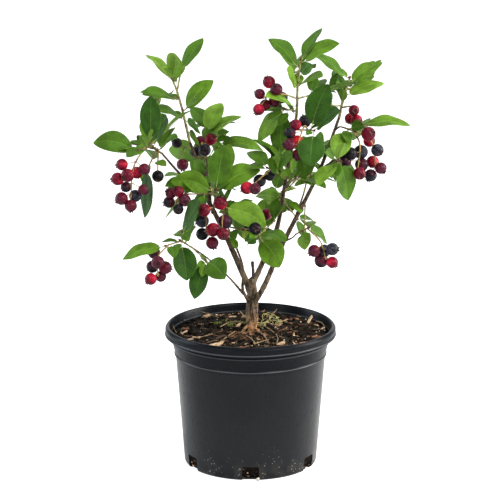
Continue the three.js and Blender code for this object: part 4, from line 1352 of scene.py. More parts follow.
def floor_material(colours):
    """A pale floor that shows almost white"""
    material, nodes, shader = new_material("pale_floor", Specular_IOR_Level=0.1, Emission_Strength=1.0)
    point, _ = nodes.places()
    tone = nodes.group(
        mottle(), Place=point, Base=rgba(colours.floor), Patch=rgba(toned(0.985, colours.floor)), Scale=3.0,
        Low=0.3, High=0.7,
    )
    nodes.put(shader["Base Color"], tone["Colour"])
    nodes.put(shader["Roughness"], nodes.steps(tone["Mask"], 0.0, 1.0, 0.85, 0.9))
    seen = nodes.node("ShaderNodeLightPath").outputs["Is Camera Ray"]
    nodes.put(shader["Emission Color"], nodes.mix(seen, (0.0, 0.0, 0.0, 1.0), rgba(colours.floor_glow)))
    return material


# Pot

ROUND_STEPS = 4
SHARP_ANGLE = math.radians(38)
MERGE_DISTANCE = 1e-6


def rounded(corners):
    """An outline of (across, up) with each corner rounded over its own radius"""
    outline = []
    for i, (across, up, radius) in enumerate(corners):
        corner = Vector((across, up))
        if radius == 0 or i in (0, len(corners) - 1):
            outline.append(tuple(corner))
            continue
        before = Vector(corners[i - 1][:2]) - corner
        after = Vector(corners[i + 1][:2]) - corner
        opening = before.angle(after)
        reach = min(radius / math.tan(opening / 2), 0.49 * before.length, 0.49 * after.length)
        start = corner + before.normalized() * reach
        end = corner + after.normalized() * reach
        for k in range(ROUND_STEPS + 1):
            part = k / ROUND_STEPS
            point = start * (1 - part) ** 2 + corner * 2 * part * (1 - part) + end * part ** 2
            outline.append(tuple(point))
    return outline


def pot_profile():
    """The wall from the middle of its underside, over the lip, to the middle of its floor"""
    lip = POT_HEIGHT - LIP_DEPTH
    collar = POT_HEIGHT - COLLAR_DEPTH
    collar_foot = COLLAR_FOOT_RADIUS
    return rounded([
        (0, 0, 0),
        (WALL_FOOT_RADIUS - 0.6, 0, 4),
        (WALL_TOP_RADIUS, collar - 1.6, 0.5),
        (collar_foot + 0.2, collar - 1.1, 0.3),
        (collar_foot + 0.4, collar - 0.1, 0.4),
        (collar_foot - 0.4, collar + 1.5, 0.5),
        (COLLAR_RADIUS - 0.8, lip - 6.2, 0.4),
        (COLLAR_RADIUS + 0.4, lip - 5.4, 0.3),
        (COLLAR_RADIUS + 0.4, lip - 4.6, 0.4),
        (COLLAR_RADIUS - 0.8, lip - 3.2, 0.5),
        (COLLAR_RADIUS - 0.6, lip - 0.4, 0.6),
        (LIP_RADIUS - 1.1, lip - 0.2, 0.5),
        (LIP_RADIUS, lip + 0.5, 0.5),
        (LIP_RADIUS, lip + 1.3, 0.6),
        (LIP_RADIUS - 1.3, lip + 2.6, 0.5),
        (LIP_RADIUS - 0.5, lip + 4.4, 1.2),
        (LIP_RADIUS - 0.5, POT_HEIGHT - 2.6, 1.8),
        (LIP_RADIUS - 2.6, POT_HEIGHT - 0.1, 1.2),
        (LIP_RADIUS - 4.6, POT_HEIGHT, 1),
        (LIP_RADIUS - 5.6, POT_HEIGHT - 2.4, 1.4),
        (COLLAR_RADIUS - WALL + 0.6, lip - 2, 1.5),
        (collar_foot - WALL, collar, 0.5),
        (WALL_TOP_RADIUS - WALL, collar - 2, 0.5),
        (WALL_FOOT_RADIUS - WALL, FOOT_ROUND + 1, 3),
        (FOOT_RADIUS - WALL, FLOOR_THICKNESS, 0),
        (0, FLOOR_THICKNESS, 0),
    ])


def notch_cutter():
    """The drain notches as prisms with rounded tops, set round the foot"""
    shape = Shape()
    half = NOTCH_WIDTH / 2
    outline = rounded([
        (-half, -2, 0),
        (-half, NOTCH_HEIGHT, NOTCH_CORNER),
        (half, NOTCH_HEIGHT, NOTCH_CORNER),
        (half, -2, 0),
    ])
    for i in range(NOTCHES):
        spin = Matrix.Rotation(math.tau * i / NOTCHES, 3, "Z")
        rings = []
        for reach in (NOTCH_INNER_RADIUS, LIP_RADIUS):
            rings.append([spin @ Vector((across, -reach, up)) for across, up in outline])
        shape.add_tube(rings)
    return mesh_of("notch_cutter", shape)


def join_close(mesh):
    """Join corners at the same place, and turn every face outwards"""
    work = bmesh.new()
    work.from_mesh(mesh)
    bmesh.ops.remove_doubles(work, verts=work.verts, dist=MERGE_DISTANCE)
    bmesh.ops.recalc_face_normals(work, faces=work.faces)
    work.to_mesh(mesh)
    work.free()


def cut_notches(wall):
    """The pot's wall with the drain notches cut out of it"""
    cutter_mesh = notch_cutter()
    join_close(cutter_mesh)
    cutter = link("notch_cutter", cutter_mesh)
    cut = with_modifiers(
        "pot", wall, ("BOOLEAN", {"operation": "DIFFERENCE", "object": cutter, "solver": "EXACT"}),
    )
    bpy.data.objects.remove(cutter)
    return cut


def make_pot(sizes, colours):
    shape = Shape()
    shape.add_lathe(pot_profile(), Vector((0, 0, 0)), UP, sizes.pot_sides)
    wall = mesh_of("pot_shell", shape)
    join_close(wall)
    cut = cut_notches(wall)
    make_object("pot_black_plastic", cut, plastic_material(colours), ["pot"])
    cut.set_sharp_from_angle(angle=SHARP_ANGLE)


# Potting mix

# How far under the top of its solid the mix lies between the chips
MIX_DIP = 1.6
# The lumps of the mix: how high and how close together
MIX_LUMPS = ((1.5, 0.075), (0.9, 0.21))
GROUND_ROWS = 30
GROUND_SIDES = 120

# Chips that show by themselves: the middle across and back, length, width, thickness, turn and pitch
SHOWN_CHIPS = {
    "tan": [
        (-38, -57, 25, 6, 2.6, 0.5, 0.12), (-66, -34, 10, 5, 2.2, -0.4, 0.2),
        (-59, -27, 13, 4, 1.8, -0.6, 0.1), (-14, 10, 15, 3.4, 2.0, 1.05, 0.3),
        (66, 30, 17, 3.6, 2.0, 0.9, 0.75), (33, -56, 12, 6, 2.4, 0.35, 0.2),
        (-49, 66, 16, 3.6, 1.6, 0.3, 0.1), (-20, 56, 12, 4.5, 1.6, -0.3, 0.1),
    ],
    "red": [
        (46, 50, 23, 4, 1.8, 0.02, 0.02), (-72, 4, 16, 3.4, 1.6, -1.0, 0.25), (36, -8, 14, 8, 1.2, -0.5, 0.5),
        (42, -14, 11, 6, 1.2, -1.2, 0.4), (69, -25, 20, 5, 1.8, -0.12, 0.05),
        (55, -47, 19, 3.6, 1.8, 0.35, 0.08), (24, 16, 17, 5, 1.8, 0.1, 0.1), (-28, 66, 18, 5, 1.8, -0.2, 0.1),
    ],
    "brown": [
        (-55, 72, 22, 5, 2, -0.3, 0.1), (60, 20, 20, 5, 2.2, -0.5, 0.15), (-34, -30, 22, 8, 3, 0.8, 0.1),
    ],
}
CHIP_LIFT = 2.2

# Chips strewn by the rule: how many for each hundred, and the least and most length, width and thickness
STREWN_CHIPS = {
    "dark": (62, (7, 22), (2.6, 8), (1.2, 3.4)),
    "brown": (13, (9, 28), (1.8, 5.4), (1.0, 2.6)),
    "red": (11, (9, 27), (1.6, 5.0), (0.8, 2.2)),
    "tan": (14, (7, 26), (1.2, 4.0), (0.6, 1.8)),
}
STREWN_REACH = 82
CHIP_REACH = 84.5
CHIP_SKEW = 1.6
STEEPEST = 0.8
# How many times paler than a chip its fibres are
CHIP_FIBRES = {"dark": 2.4, "brown": 1.9, "red": 1.7, "tan": 1.4}
# The levels of a chip's outline as parts of its thickness, with its size there
CHIP_LAYERS = ((-0.5, 0.86), (0.2, 1.0), (0.5, 0.84))
# The share of the lighter chips kept at the left and at the right: fewer at the left, which paints shade on
# that side of the mix
SIDE_SHADE_SHARES = (0.3, 1.0)
# A patch of painted shade on the mix: its middle across and back and its reach, and the share of lighter
# chips left out there
SHADE_PATCH = (-46, 18, 42)
SHADE_PATCH_SHARE = 0.9

# Crumbs behind each drain notch, with the least and most length, width and thickness
NOTCH_CRUMBS = 16
NOTCH_FINISHES = ("dark",) * 9 + ("brown", "brown", "red", "tan")
CRUMB_SIZES = ((2, 4.5), (0.8, 2), (0.8, 1.6))

# Dry straws, each through its places across, back and above the mix
STRAWS = [
    [(13, 20, 1.5), (21, -2, 3), (28, -20, 2.5)], [(28, -20, 2.5), (30, -38, 2), (28, -54, 1)],
    [(-10, -18, 1), (-2, -34, 2.5), (6, -54, 1.5)], [(6, -54, 1.5), (17, -45, 2.5), (24, -36, 1)],
    [(-88, 34, 4), (-86, 14, 2.5), (-82, -4, 1)], [(-34, 10, 1), (-22, 22, 2.5), (-8, 26, 2)],
    [(-16, -4, 1), (-22, -24, 2.5), (-33, -44, 1)], [(8, -12, 2), (15, -30, 3), (20, -48, 1)],
    [(-78, 52, 7), (-77, 50, 2), (-74, 42, 1)], [(30, 70, 7), (26, 62, 4), (20, 56, 1)],
    [(-58, 62, 6), (-44, 58, 3), (-36, 52, 1)], [(74, 44, 1), (80, 32, 2), (83, 18, 1)],
    [(-12, 66, 5), (-8, 56, 3), (-4, 50, 1)], [(-60, -30, 1), (-48, -24, 2), (-38, -12, 1)],
]
STRAW_RADIUS = 0.55
SHORT_STRAWS = 60
SHORT_STRAW_REACH = 80
STRAND_STEP = 2.0
STRAND_REACH = 83

# Fine roots run forward from the trunk's foot, between these headings
ROOTS = 34
ROOT_HEADINGS = (math.radians(-165), math.radians(-15))
# Side roots of the trunk, each through its places across, back and above the mix
SIDE_ROOTS = [[(-4, -3, 6), (-8, -9, 3), (-12, -17, -1)], [(5, -3, 3), (10, -9, 1), (16, -19, -2)]]
SIDE_ROOT_RADII = (1.9, 0.6)

# Dry curls and moss beside the trunk's foot: the middle of each tuft across and back, and its reach
CURL_MIDDLES = [(15, 26, 14), (27, 38, 15), (12, 14, 11), (30, 20, 12), (20, 46, 13)]
CURLS = 4
CURL_STEPS = 5
CURL_RISE = 8
CURL_RADIUS = 0.23
MOSS_MIDDLES = [(-28, 36, 8), (-17, 30, 9), (-22, 20, 7), (-9, 26, 6), (-36, 30, 6)]
MOSS_STEMS = 46
MOSS_RADIUS = 0.36

# Pale grains that show, with the sizes of these and of the small ones strewn by the rule
PALE_GRAINS = [
    (50, 22), (56, 12), (76, 2), (82, 4), (-39, 70), (-20, 70), (37, -36), (60, -30), (-60, -42), (12, -62),
]
SHOWN_GRAIN_SIZES = (0.9, 1.5)
SMALL_GRAINS = 46
SMALL_GRAIN_SIZES = (0.35, 0.85)
# The pale pebble at the front notch, with its length, width and thickness
PEBBLE = (8.2, -76.4, 2.4)
PEBBLE_SIZE = (4.2, 3.6, 3.2)


def spot(reach, turn):
    """The place across and back at a reach and a turn round the pot's axis"""
    return reach * math.cos(turn), reach * math.sin(turn)


def strewn_spot(rng, most):
    """A place strewn by the rule, at most so far from the pot's axis"""
    turn = rng.uniform(0, math.tau)
    return spot(most * math.sqrt(rng.uniform(0.03, 1)), turn)


def mix_level(across, back):
    """The height of the potting mix between the chips"""
    drop = MIX_EDGE_DROP * (math.hypot(across, back) / COLLAR_RADIUS) ** 2
    place = Vector((across, back, 0))
    lumps = sum(rise * noise.noise(place * fineness) for rise, fineness in MIX_LUMPS)
    return MIX_HEIGHT - MIX_DIP - drop + lumps


def on_mix(across, back, lift=0.0):
    """The point so far above the mix at a place"""
    return Vector((across, back, mix_level(across, back) + lift))


def mix_ground():
    """The body of the mix: just inside the wall, with its lumpy top"""
    inset = WALL + GAP
    collar = POT_HEIGHT - COLLAR_DEPTH
    outline = [
        (FOOT_RADIUS - inset - 0.5, FLOOR_THICKNESS + GAP),
        (WALL_FOOT_RADIUS - inset, FOOT_ROUND + 1.5),
        (WALL_FOOT_RADIUS + 0.6 - inset, NOTCH_HEIGHT / 2),
        (WALL_FOOT_RADIUS + 1.3 - inset, NOTCH_HEIGHT + 2),
        (WALL_TOP_RADIUS - inset, collar - 2),
        (COLLAR_FOOT_RADIUS - inset, collar + 0.5),
        (COLLAR_RADIUS - inset - 0.4, MIX_HEIGHT - 6),
    ]
    turns = [math.tau * i / GROUND_SIDES for i in range(GROUND_SIDES)]
    rings = [[Vector((*spot(radius, turn), height)) for turn in turns] for radius, height in outline]
    for row in range(GROUND_ROWS):
        radius = (COLLAR_RADIUS - inset - 0.6) * (1 - row / GROUND_ROWS)
        rings.append([on_mix(*spot(radius, turn)) for turn in turns])
    shape = Shape()
    shape.add_tube(rings)
    return shape


def add_chip(shape, rng, centre, length, width, thick, turn, pitch, roll=0.0):
    """One flat split chip with an uneven outline, its grain along its length"""
    count = rng.randint(6, 9)
    lie = Matrix.Rotation(turn, 3, "Z") @ Matrix.Rotation(-pitch, 3, "Y") @ Matrix.Rotation(roll, 3, "X")
    bend = rng.uniform(-0.12, 0.12) * length
    offset = (rng.uniform(0, 40), rng.uniform(0, 40))
    rings = []
    places = []
    for level, size in CHIP_LAYERS:
        ring = []
        for i in range(count):
            angle = math.tau * (i + 0.5 * chance(offset[0], i)) / count
            along_share = math.copysign(abs(math.cos(angle)) ** 0.6, math.cos(angle)) * size
            across_share = math.copysign(abs(math.sin(angle)) ** 0.7, math.sin(angle)) * size
            uneven = 1 - 0.3 * chance(offset[1], i)
            x = along_share * length / 2 * uneven
            y = across_share * width / 2 * uneven
            z = level * thick + bend * (2 * x / length) ** 2 + 0.25 * thick * chance(offset[0], i + 20)
            ring.append(centre + lie @ Vector((x, y, z)))
            places.append((offset[0] + x / 10, offset[1] + (y + level * thick) / 10))
        rings.append(ring)
    shape.add_tube(rings, places)


def add_strand(shape, points, radius, seed, sides=4):
    """A thin uneven stem through its points, finer at both ends"""
    path = even_points(points, STRAND_STEP)
    radii = []
    for i in range(len(path)):
        radii.append(radius * (0.75 + 0.5 * chance(seed, i)) * (0.55 if i in (0, len(path) - 1) else 1))
    shape.add_tube(path_rings(path, radii, sides, 0.15, seed))


def strew_chip(shape, rng, lighter, lengths, widths, depths):
    """A chip laid by the rule, or none where a lighter one is left out so that the mix shows painted shade"""
    size = rng.random() ** CHIP_SKEW
    reach = STREWN_REACH * math.sqrt(rng.uniform(0.015, 1))
    across, back = spot(reach, rng.uniform(0, math.tau))
    # Lighter chips are left out in a patch left of the trunk and more of them towards the left, so the dark
    # mix shows there as painted shade
    shaded = math.hypot(across - SHADE_PATCH[0], back - SHADE_PATCH[1]) < SHADE_PATCH[2]
    if lighter and shaded and rng.random() < SHADE_PATCH_SHARE:
        return
    if lighter and rng.random() > between(SIDE_SHADE_SHARES, (across + STREWN_REACH) / (2 * STREWN_REACH)):
        return
    length = min(between(lengths, size), 2 * max(3.0, CHIP_REACH - reach) + 3)
    thick = between(depths, rng.random())
    centre = on_mix(across, back, thick * 0.3 + rng.uniform(-0.6, 1.5))
    pitch = max(-STEEPEST, min(STEEPEST, rng.gauss(0, 0.24)))
    width = between(widths, rng.random()) * (0.6 + 0.4 * size)
    add_chip(shape, rng, centre, length, width, thick, rng.uniform(0, math.tau), pitch, rng.gauss(0, 0.35))


def add_crumb(shapes, rng, facing):
    """A crumb of the mix that shows in the drain notch on one side"""
    turn = facing + rng.uniform(-0.45, 0.45) * NOTCH_WIDTH / WALL_FOOT_RADIUS
    reach = WALL_FOOT_RADIUS - rng.uniform(0.5, 1.2)
    centre = Vector((*spot(reach, turn), rng.uniform(3, NOTCH_HEIGHT - 1)))
    shape = shapes[rng.choice(NOTCH_FINISHES)]
    length, width, thick = (rng.uniform(*ends) for ends in CRUMB_SIZES)
    pitch = rng.uniform(-0.9, 0.9)
    add_chip(shape, rng, centre, length, width, thick, turn + math.pi / 2, pitch, rng.uniform(0.6, 1.4))


def chip_shapes(sizes):
    """The chips of each finish: strewn by the rule, shown at their places and behind the notches"""
    rng = Random(sizes.seed)
    shapes = {finish: Shape() for finish in STREWN_CHIPS}
    for finish, (share, *ranges) in STREWN_CHIPS.items():
        for _ in range(int(sizes.chip_count * share / 100)):
            strew_chip(shapes[finish], rng, finish != "dark", *ranges)
    for finish, rows in SHOWN_CHIPS.items():
        for across, back, length, width, thick, turn, pitch in rows:
            centre = on_mix(across, back, CHIP_LIFT + 0.4 * length * math.sin(abs(pitch)))
            add_chip(shapes[finish], rng, centre, length, width, thick, turn, pitch)
    for i in range(NOTCHES):
        for _ in range(NOTCH_CRUMBS):
            add_crumb(shapes, rng, math.tau * i / NOTCHES - math.pi / 2)
    return shapes


def straw_shape(rng):
    """The straws that show, and short ones strewn by the rule"""
    shape = Shape()
    for i, places in enumerate(STRAWS):
        points = [on_mix(across, back, CHIP_LIFT + lift) for across, back, lift in places]
        add_strand(shape, points, STRAW_RADIUS, i, 5)
    for i in range(SHORT_STRAWS):
        start = Vector((*strewn_spot(rng, SHORT_STRAW_REACH), 0))
        length = rng.uniform(5, 20)
        heading = turned(Vector((1, 0, 0)), UP, rng.uniform(0, math.tau))
        points = []
        for k in range(3):
            point = start + heading * length * k / 2 + Vector((rng.uniform(-2, 2), rng.uniform(-2, 2), 0))
            if point.length > STRAND_REACH:
                point *= STRAND_REACH / point.length
            points.append(on_mix(point.x, point.y, 1.6 + rng.uniform(0, 1.8)))
        add_strand(shape, points, rng.uniform(0.16, 0.4), i + 50)
    return shape


def root_shape(rng):
    """Fine roots that wander forward over the mix"""
    shape = Shape()
    for i in range(ROOTS):
        heading = rng.uniform(*ROOT_HEADINGS)
        reach = rng.uniform(5, 11)
        points = []
        for _ in range(4):
            across, back = spot(reach, heading)
            points.append(on_mix(TRUNK_LEAN + across, back, rng.uniform(1.6, 3.6)))
            heading += rng.uniform(-0.22, 0.22)
            reach += rng.uniform(6, 15)
        add_strand(shape, points, rng.uniform(0.25, 0.6), i + 90)
    return shape


def curl_shape(rng):
    """Dry curls that rise and turn over the mix"""
    shape = Shape()
    for i, (across, back, size) in enumerate(CURL_MIDDLES):
        for k in range(CURLS):
            points = []
            turn = rng.uniform(0, math.tau)
            swing = size * rng.uniform(0.3, 0.6)
            for step in range(CURL_STEPS + 1):
                turn += rng.uniform(0.5, 1.1)
                x, y = spot(swing, turn)
                rise = CURL_RISE * math.sin(math.pi * step / CURL_STEPS) * (0.6 + 0.4 * chance(i, k))
                points.append(on_mix(across + x, back + y, 1.4 + rise))
            add_strand(shape, points, CURL_RADIUS, i * 10 + k)
    return shape


def moss_shape(rng):
    """Short green stems in low tufts"""
    shape = Shape()
    for across, back, size in MOSS_MIDDLES:
        for k in range(MOSS_STEMS):
            turn = rng.uniform(0, math.tau)
            x, y = spot(size * rng.random(), turn)
            low = on_mix(across + x, back + 0.8 * y, 1.2)
            high = low + Vector((rng.uniform(-1.6, 1.6), rng.uniform(-1.6, 1.6), rng.uniform(1.4, 3.4)))
            add_strand(shape, [low, low.lerp(high, 0.5), high], MOSS_RADIUS, k)
    return shape


def grain_shape(rng):
    """The pale grains that show, small ones strewn by the rule, and the pebble at the front notch"""
    shape = Shape()
    places = [*PALE_GRAINS, *[strewn_spot(rng, STREWN_REACH) for _ in range(SMALL_GRAINS)]]
    for i, place in enumerate(places):
        size = rng.uniform(*(SHOWN_GRAIN_SIZES if i < len(PALE_GRAINS) else SMALL_GRAIN_SIZES))
        centre = on_mix(*place, 2.4)
        add_chip(shape, rng, centre, 2 * size, 1.8 * size, 1.4 * size, rng.uniform(0, 6), rng.uniform(0, 1))
    add_chip(shape, rng, Vector(PEBBLE), *PEBBLE_SIZE, 0.4, 0.1)
    return shape


def make_mix_piece(name, shape, material, smooth=True):
    make_piece("mix_" + name, shape, material, ["potting_mix"], smooth)


def make_mix(sizes, colours):
    make_mix_piece("ground", mix_ground(), ground_material(colours))
    for finish, shape in chip_shapes(sizes).items():
        material = chip_material("chip_" + finish, getattr(colours, "chip_" + finish), CHIP_FIBRES[finish])
        make_mix_piece("chips_" + finish, shape, material, smooth=False)
    rng = Random(sizes.seed + 1)
    make_mix_piece("straws", straw_shape(rng), chip_material("dry_straw", colours.straw, 1.4))
    make_mix_piece("fine_roots", root_shape(rng), chip_material("fine_roots", colours.root, 1.7))
    make_mix_piece("dry_curls", curl_shape(rng), chip_material("dry_curls", colours.curl, 1.4))
    moss = skin_material(
        "green_moss", 500.0, colours.moss, toned(0.5, colours.moss), toned(1.3, colours.moss),
        toned(1.6, colours.moss), 0.0001,
    )
    make_mix_piece("green_moss", moss_shape(rng), moss)
    make_mix_piece("pale_grains", grain_shape(rng), chip_material("pale_grains", colours.grain, 1.15))


# Trunk and boughs

TRUNK_SIDES = 36
TRUNK_RING_STEP = 1.5
TRUNK_SUNK = 3
# The share of the trunk's height from which its top is domed
DOME_FROM = 0.9
LIMB_SIDES = 14
LIMB_UNEVEN = 0.06
# How much wider a bough is at its foot, and how soon that ends
FOOT_SWELL = 0.3
FOOT_SWELL_LENGTH = 5
# How much wider a bough is at its joints, and how far apart they are
JOINT_SWELL = 0.07
JOINT_STEP = 21
SIDE_ROOT_SIDES = 10
# The old cracked bark ends at this height, and gives way to smooth bark over this much below it
OLD_BARK_TOP = 232
OLD_BARK_FADE = 60
# How close together the plates and the fine cracks of the bark are, across and up
PLATE_FINENESS = (0.5, 0.13)
CRACK_FINENESS = (1.6, 0.7)
RING_FINENESS = 0.42
# How high the plates and fine cracks rise on old bark, and the plates and rings on young bark
OLD_BARK_RISES = (0.85, 0.35)
YOUNG_BARK_RISES = (0.18, 0.12)
STUB_SIDES = 12
# The share of the stub's length at which it has its knob, and how long the knob is
KNOB_AT = 0.9
KNOB_LENGTH = 0.09


def trunk_radius(share, turn):
    stock = between((TRUNK_FOOT_RADIUS, TRUNK_FORK_RADIUS), share)
    bulge = TRUNK_BULGE * math.sin(math.pi * share ** TRUNK_BULGE_SKEW)
    lobes = 1 + LOBE_DEPTH * (1 - share) * math.cos(LOBES * turn)
    return (stock + bulge) * lobes


def trunk_rings():
    foot = Vector((TRUNK_LEAN, 0, MIX_HEIGHT + GAP))
    fork = Vector((2 * TRUNK_LEAN, 0, TRUNK_TOP))
    path = even_points([foot, fork], TRUNK_RING_STEP)
    rings = []
    for i, centre in enumerate(path):
        share = i / (len(path) - 1)
        dome = math.sqrt(max(0.05, 1 - max(0.0, (share - DOME_FROM) / 0.1) ** 2))
        ring = []
        for side in range(TRUNK_SIDES):
            turn = math.tau * side / TRUNK_SIDES
            radius = (trunk_radius(share, turn) - BARK_RISE) * dome
            ring.append(centre + Vector((math.cos(turn), math.sin(turn), 0)) * radius)
        rings.append(ring)
    rings[0] = [corner - UP * TRUNK_SUNK for corner in rings[0]]
    return rings


def limb_radius(twig, share):
    """The radius of a bough, swollen at its foot and in slight joints along it"""
    foot = FOOT_SWELL * math.exp(-(share * twig.length / FOOT_SWELL_LENGTH) ** 2)
    joints = JOINT_SWELL * math.sin(share * twig.length * math.tau / JOINT_STEP) ** 8
    return twig.radius(share) * (1 + foot + joints) - LIMB_SLIM


def limb_tubes():
    """The trunk, every bough and the side roots as tubes"""
    shape = Shape()
    shape.add_tube(trunk_rings())
    for name, twig in bush()[0].items():
        count = len(twig.fine) - 1
        radii = [limb_radius(twig, i / count) for i in range(count + 1)]
        shape.add_tube(path_rings(twig.fine, radii, LIMB_SIDES, LIMB_UNEVEN, len(name)))
    for i, places in enumerate(SIDE_ROOTS):
        points = [Vector((x, y, MIX_HEIGHT + lift)) for x, y, lift in places]
        path = even_points(points, STRAND_STEP)
        radii = [between(SIDE_ROOT_RADII, k / (len(path) - 1)) for k in range(len(path))]
        shape.add_tube(path_rings(path, radii, SIDE_ROOT_SIDES, 0.1, i))
    return shape


def bark_rise(point):
    """How high the bark stands at a point: cracked plates low down, smooth with fine rings above"""
    old = max(0.0, min(1.0, (OLD_BARK_TOP - point.z) / OLD_BARK_FADE))
    across, up = PLATE_FINENESS
    plates = noise.fractal(Vector((point.x * across, point.y * across, point.z * up)), 0.8, 2.1, 4)
    across, up = CRACK_FINENESS
    cracks = noise.noise(Vector((point.x * across, point.y * across, point.z * up)))
    ring = math.sin(point.z * RING_FINENESS + 2.5 * noise.noise(point * 0.03)) ** 16
    old_rise = OLD_BARK_RISES[0] * plates + OLD_BARK_RISES[1] * cracks
    young_rise = YOUNG_BARK_RISES[0] * plates + YOUNG_BARK_RISES[1] * ring
    return old * old_rise + (1 - old) * young_rise


def limb_mesh(sizes):
    """Trunk and boughs grown together, with the bark's relief on them"""
    mesh = with_modifiers(
        "limbs", mesh_of("limbs", limb_tubes()),
        ("REMESH", {"mode": "VOXEL", "voxel_size": sizes.limb_voxel, "use_smooth_shade": True}),
        ("SMOOTH", {"factor": 0.5, "iterations": 5}),
    )
    work = bmesh.new()
    work.from_mesh(mesh)
    work.normal_update()
    for corner in work.verts:
        corner.co += corner.normal * bark_rise(corner.co / MM) * sizes.bark_relief
    work.to_mesh(mesh)
    work.free()
    return mesh


def stub_shape():
    """The dead stub in the fork, with a knob near its end"""
    path = even_points([point_at(place) for place in STUB_ROUTE], TRUNK_RING_STEP)
    radii = []
    for i in range(len(path)):
        share = i / (len(path) - 1)
        knob = STUB_KNOB * math.exp(-((share - KNOB_AT) / KNOB_LENGTH) ** 2)
        radii.append(between(STUB_RADII, share) * (0.78 + knob + 0.5 * (1 - share) ** 3))
    shape = Shape()
    shape.add_tube(path_rings(path, radii, STUB_SIDES, 0.14, 3))
    return shape


def make_limbs(sizes, colours):
    nodes = ["trunk", *BOUGHS]
    make_object("trunk_and_boughs", limb_mesh(sizes), limb_material(colours), nodes)
    dead = skin_material("dead_wood", 500.0, *DEAD_WOOD, 0.0004)
    make_piece("trunk_dead_stub", stub_shape(), dead, ["trunk"])


# Twigs, leaves and fruit

# Masses whose twigs are green
GREEN_MASSES = {"foliage_left_top", "foliage_middle_top", "foliage_right_top", "foliage_left_low"}
TWIG_SIDES = 8
TWIG_UNEVEN = 0.07
# How far inside what it grows from a twig starts
TWIG_SUNK = 1.2
# How much wider a twig is at its joints, and how many steps apart they are
TWIG_SWELL = 1.16
TWIG_JOINT_STEPS = 4
TRUSS_SHOWN_RADII = (0.95, 0.6)
# A bud's outline from its foot to its tip: how wide and how high, as parts of its length
BUD_OUTLINE = [(0.175, -0.2), (0.31, 0.25), (0.275, 0.55), (0.11, 0.88), (0.01, 1.0)]
BUD_SIDES = 6
STALK_SIDES = 6
# The radii of a fruit stalk along it
FRUIT_STALK_RADII = [0.6, 0.5, 0.46, 0.46, 0.5, 0.75]
# The radii of the stalks of a full leaf and of a small one, and the share of a full leaf that counts as small
LEAF_STALK_RADII = (0.5, 0.34)
SMALL_LEAF = 0.6
MIDRIB_STEPS = 7
LEAF_TWIST = 0.5
LEAF_SWAY = 0.05
# Places across a blade, from edge to edge
BLADE_COLUMNS = [-1, -0.8, -0.5, -0.2, 0, 0.2, 0.5, 0.8, 1]
TEETH_FROM = 0.12
BERRY_SIDES = 18
BERRY_RINGS = 13
CROWN_POINTS = 5


def add_bud(shape, foot, heading, size):
    outline = [(radius * size, height * size) for radius, height in BUD_OUTLINE]
    shape.add_lathe(outline, foot, heading, BUD_SIDES)


def add_twig(shape, twig, seed):
    """A twig with its swollen joints, starting inside what it grows from"""
    start = twig.fine[0] - twig.heading(0) * TWIG_SUNK
    path = [start, *twig.fine]
    ends = TRUSS_SHOWN_RADII if twig.kind == "truss" else twig.radii
    radii = []
    for i in range(len(path)):
        share = i / (len(path) - 1)
        swell = TWIG_SWELL if i % TWIG_JOINT_STEPS == TWIG_JOINT_STEPS - 1 else 1.0
        radii.append(between(ends, share) * swell)
    shape.add_tube(path_rings(path, radii, TWIG_SIDES, TWIG_UNEVEN, seed))


def twig_shapes():
    """Brown twigs, green twigs, the stalks of the leaves, the stalks of the fruit and the buds"""
    shapes = {kind: Shape() for kind in ("brown", "green", "stalks", "fruit_stalks", "buds")}
    for mass in bush()[1]:
        for i, twig in enumerate(mass.twigs):
            kind = "green" if twig.kind == "extra" or mass.plan["name"] in GREEN_MASSES else "brown"
            kind = "fruit_stalks" if twig.kind == "truss" else kind
            add_twig(shapes[kind], twig, mass.seed + i)
            if twig.kind != "truss":
                heading = twig.heading(1)
                add_bud(shapes["buds"], twig.fine[-1] - heading * 0.4, heading, BUD_LENGTH * 1.2)
        for leaf in mass.leaves:
            add_leaf_stalk(shapes["stalks"], leaf)
            axil = (leaf.heading + 1.6 * leaf.twig_heading).normalized()
            if leaf.length > 0.55 * LEAF_LENGTH:
                add_bud(shapes["buds"], leaf.foot + axil * leaf.twig_radius * 0.6, axil, BUD_LENGTH)
        for berry in mass.berries:
            middle = berry.foot + berry.outward * (berry.reach - 0.75 * berry.radius)
            down = (berry.outward - UP * 0.25).normalized()
            path = bent_path(berry.start, down, middle, berry.outward, 5)
            shapes["fruit_stalks"].add_tube(path_rings(path, FRUIT_STALK_RADII, STALK_SIDES))
    return shapes


def leaf_frame(leaf):
    """The centre, across and up directions of a leaf at each share of its blade"""
    side = leaf.face.cross(leaf.heading).normalized()
    lift = UP - leaf.heading * leaf.heading.z
    twist = LEAF_TWIST * (chance(leaf.seed, 7) - 0.5)
    sway = LEAF_SWAY * (chance(leaf.seed, 9) - 0.5) * leaf.length

    def at(share):
        rise = leaf.length * LEAF_ARCH * 4 * share * (1 - share)
        centre = leaf.root + leaf.heading * (leaf.stalk + leaf.length * share) + lift * rise
        centre += side * (sway * 4 * share * (1 - share))
        turn = twist * (share - 0.4)
        return centre, turned(side, leaf.heading, turn), turned(leaf.face, leaf.heading, turn)

    return at


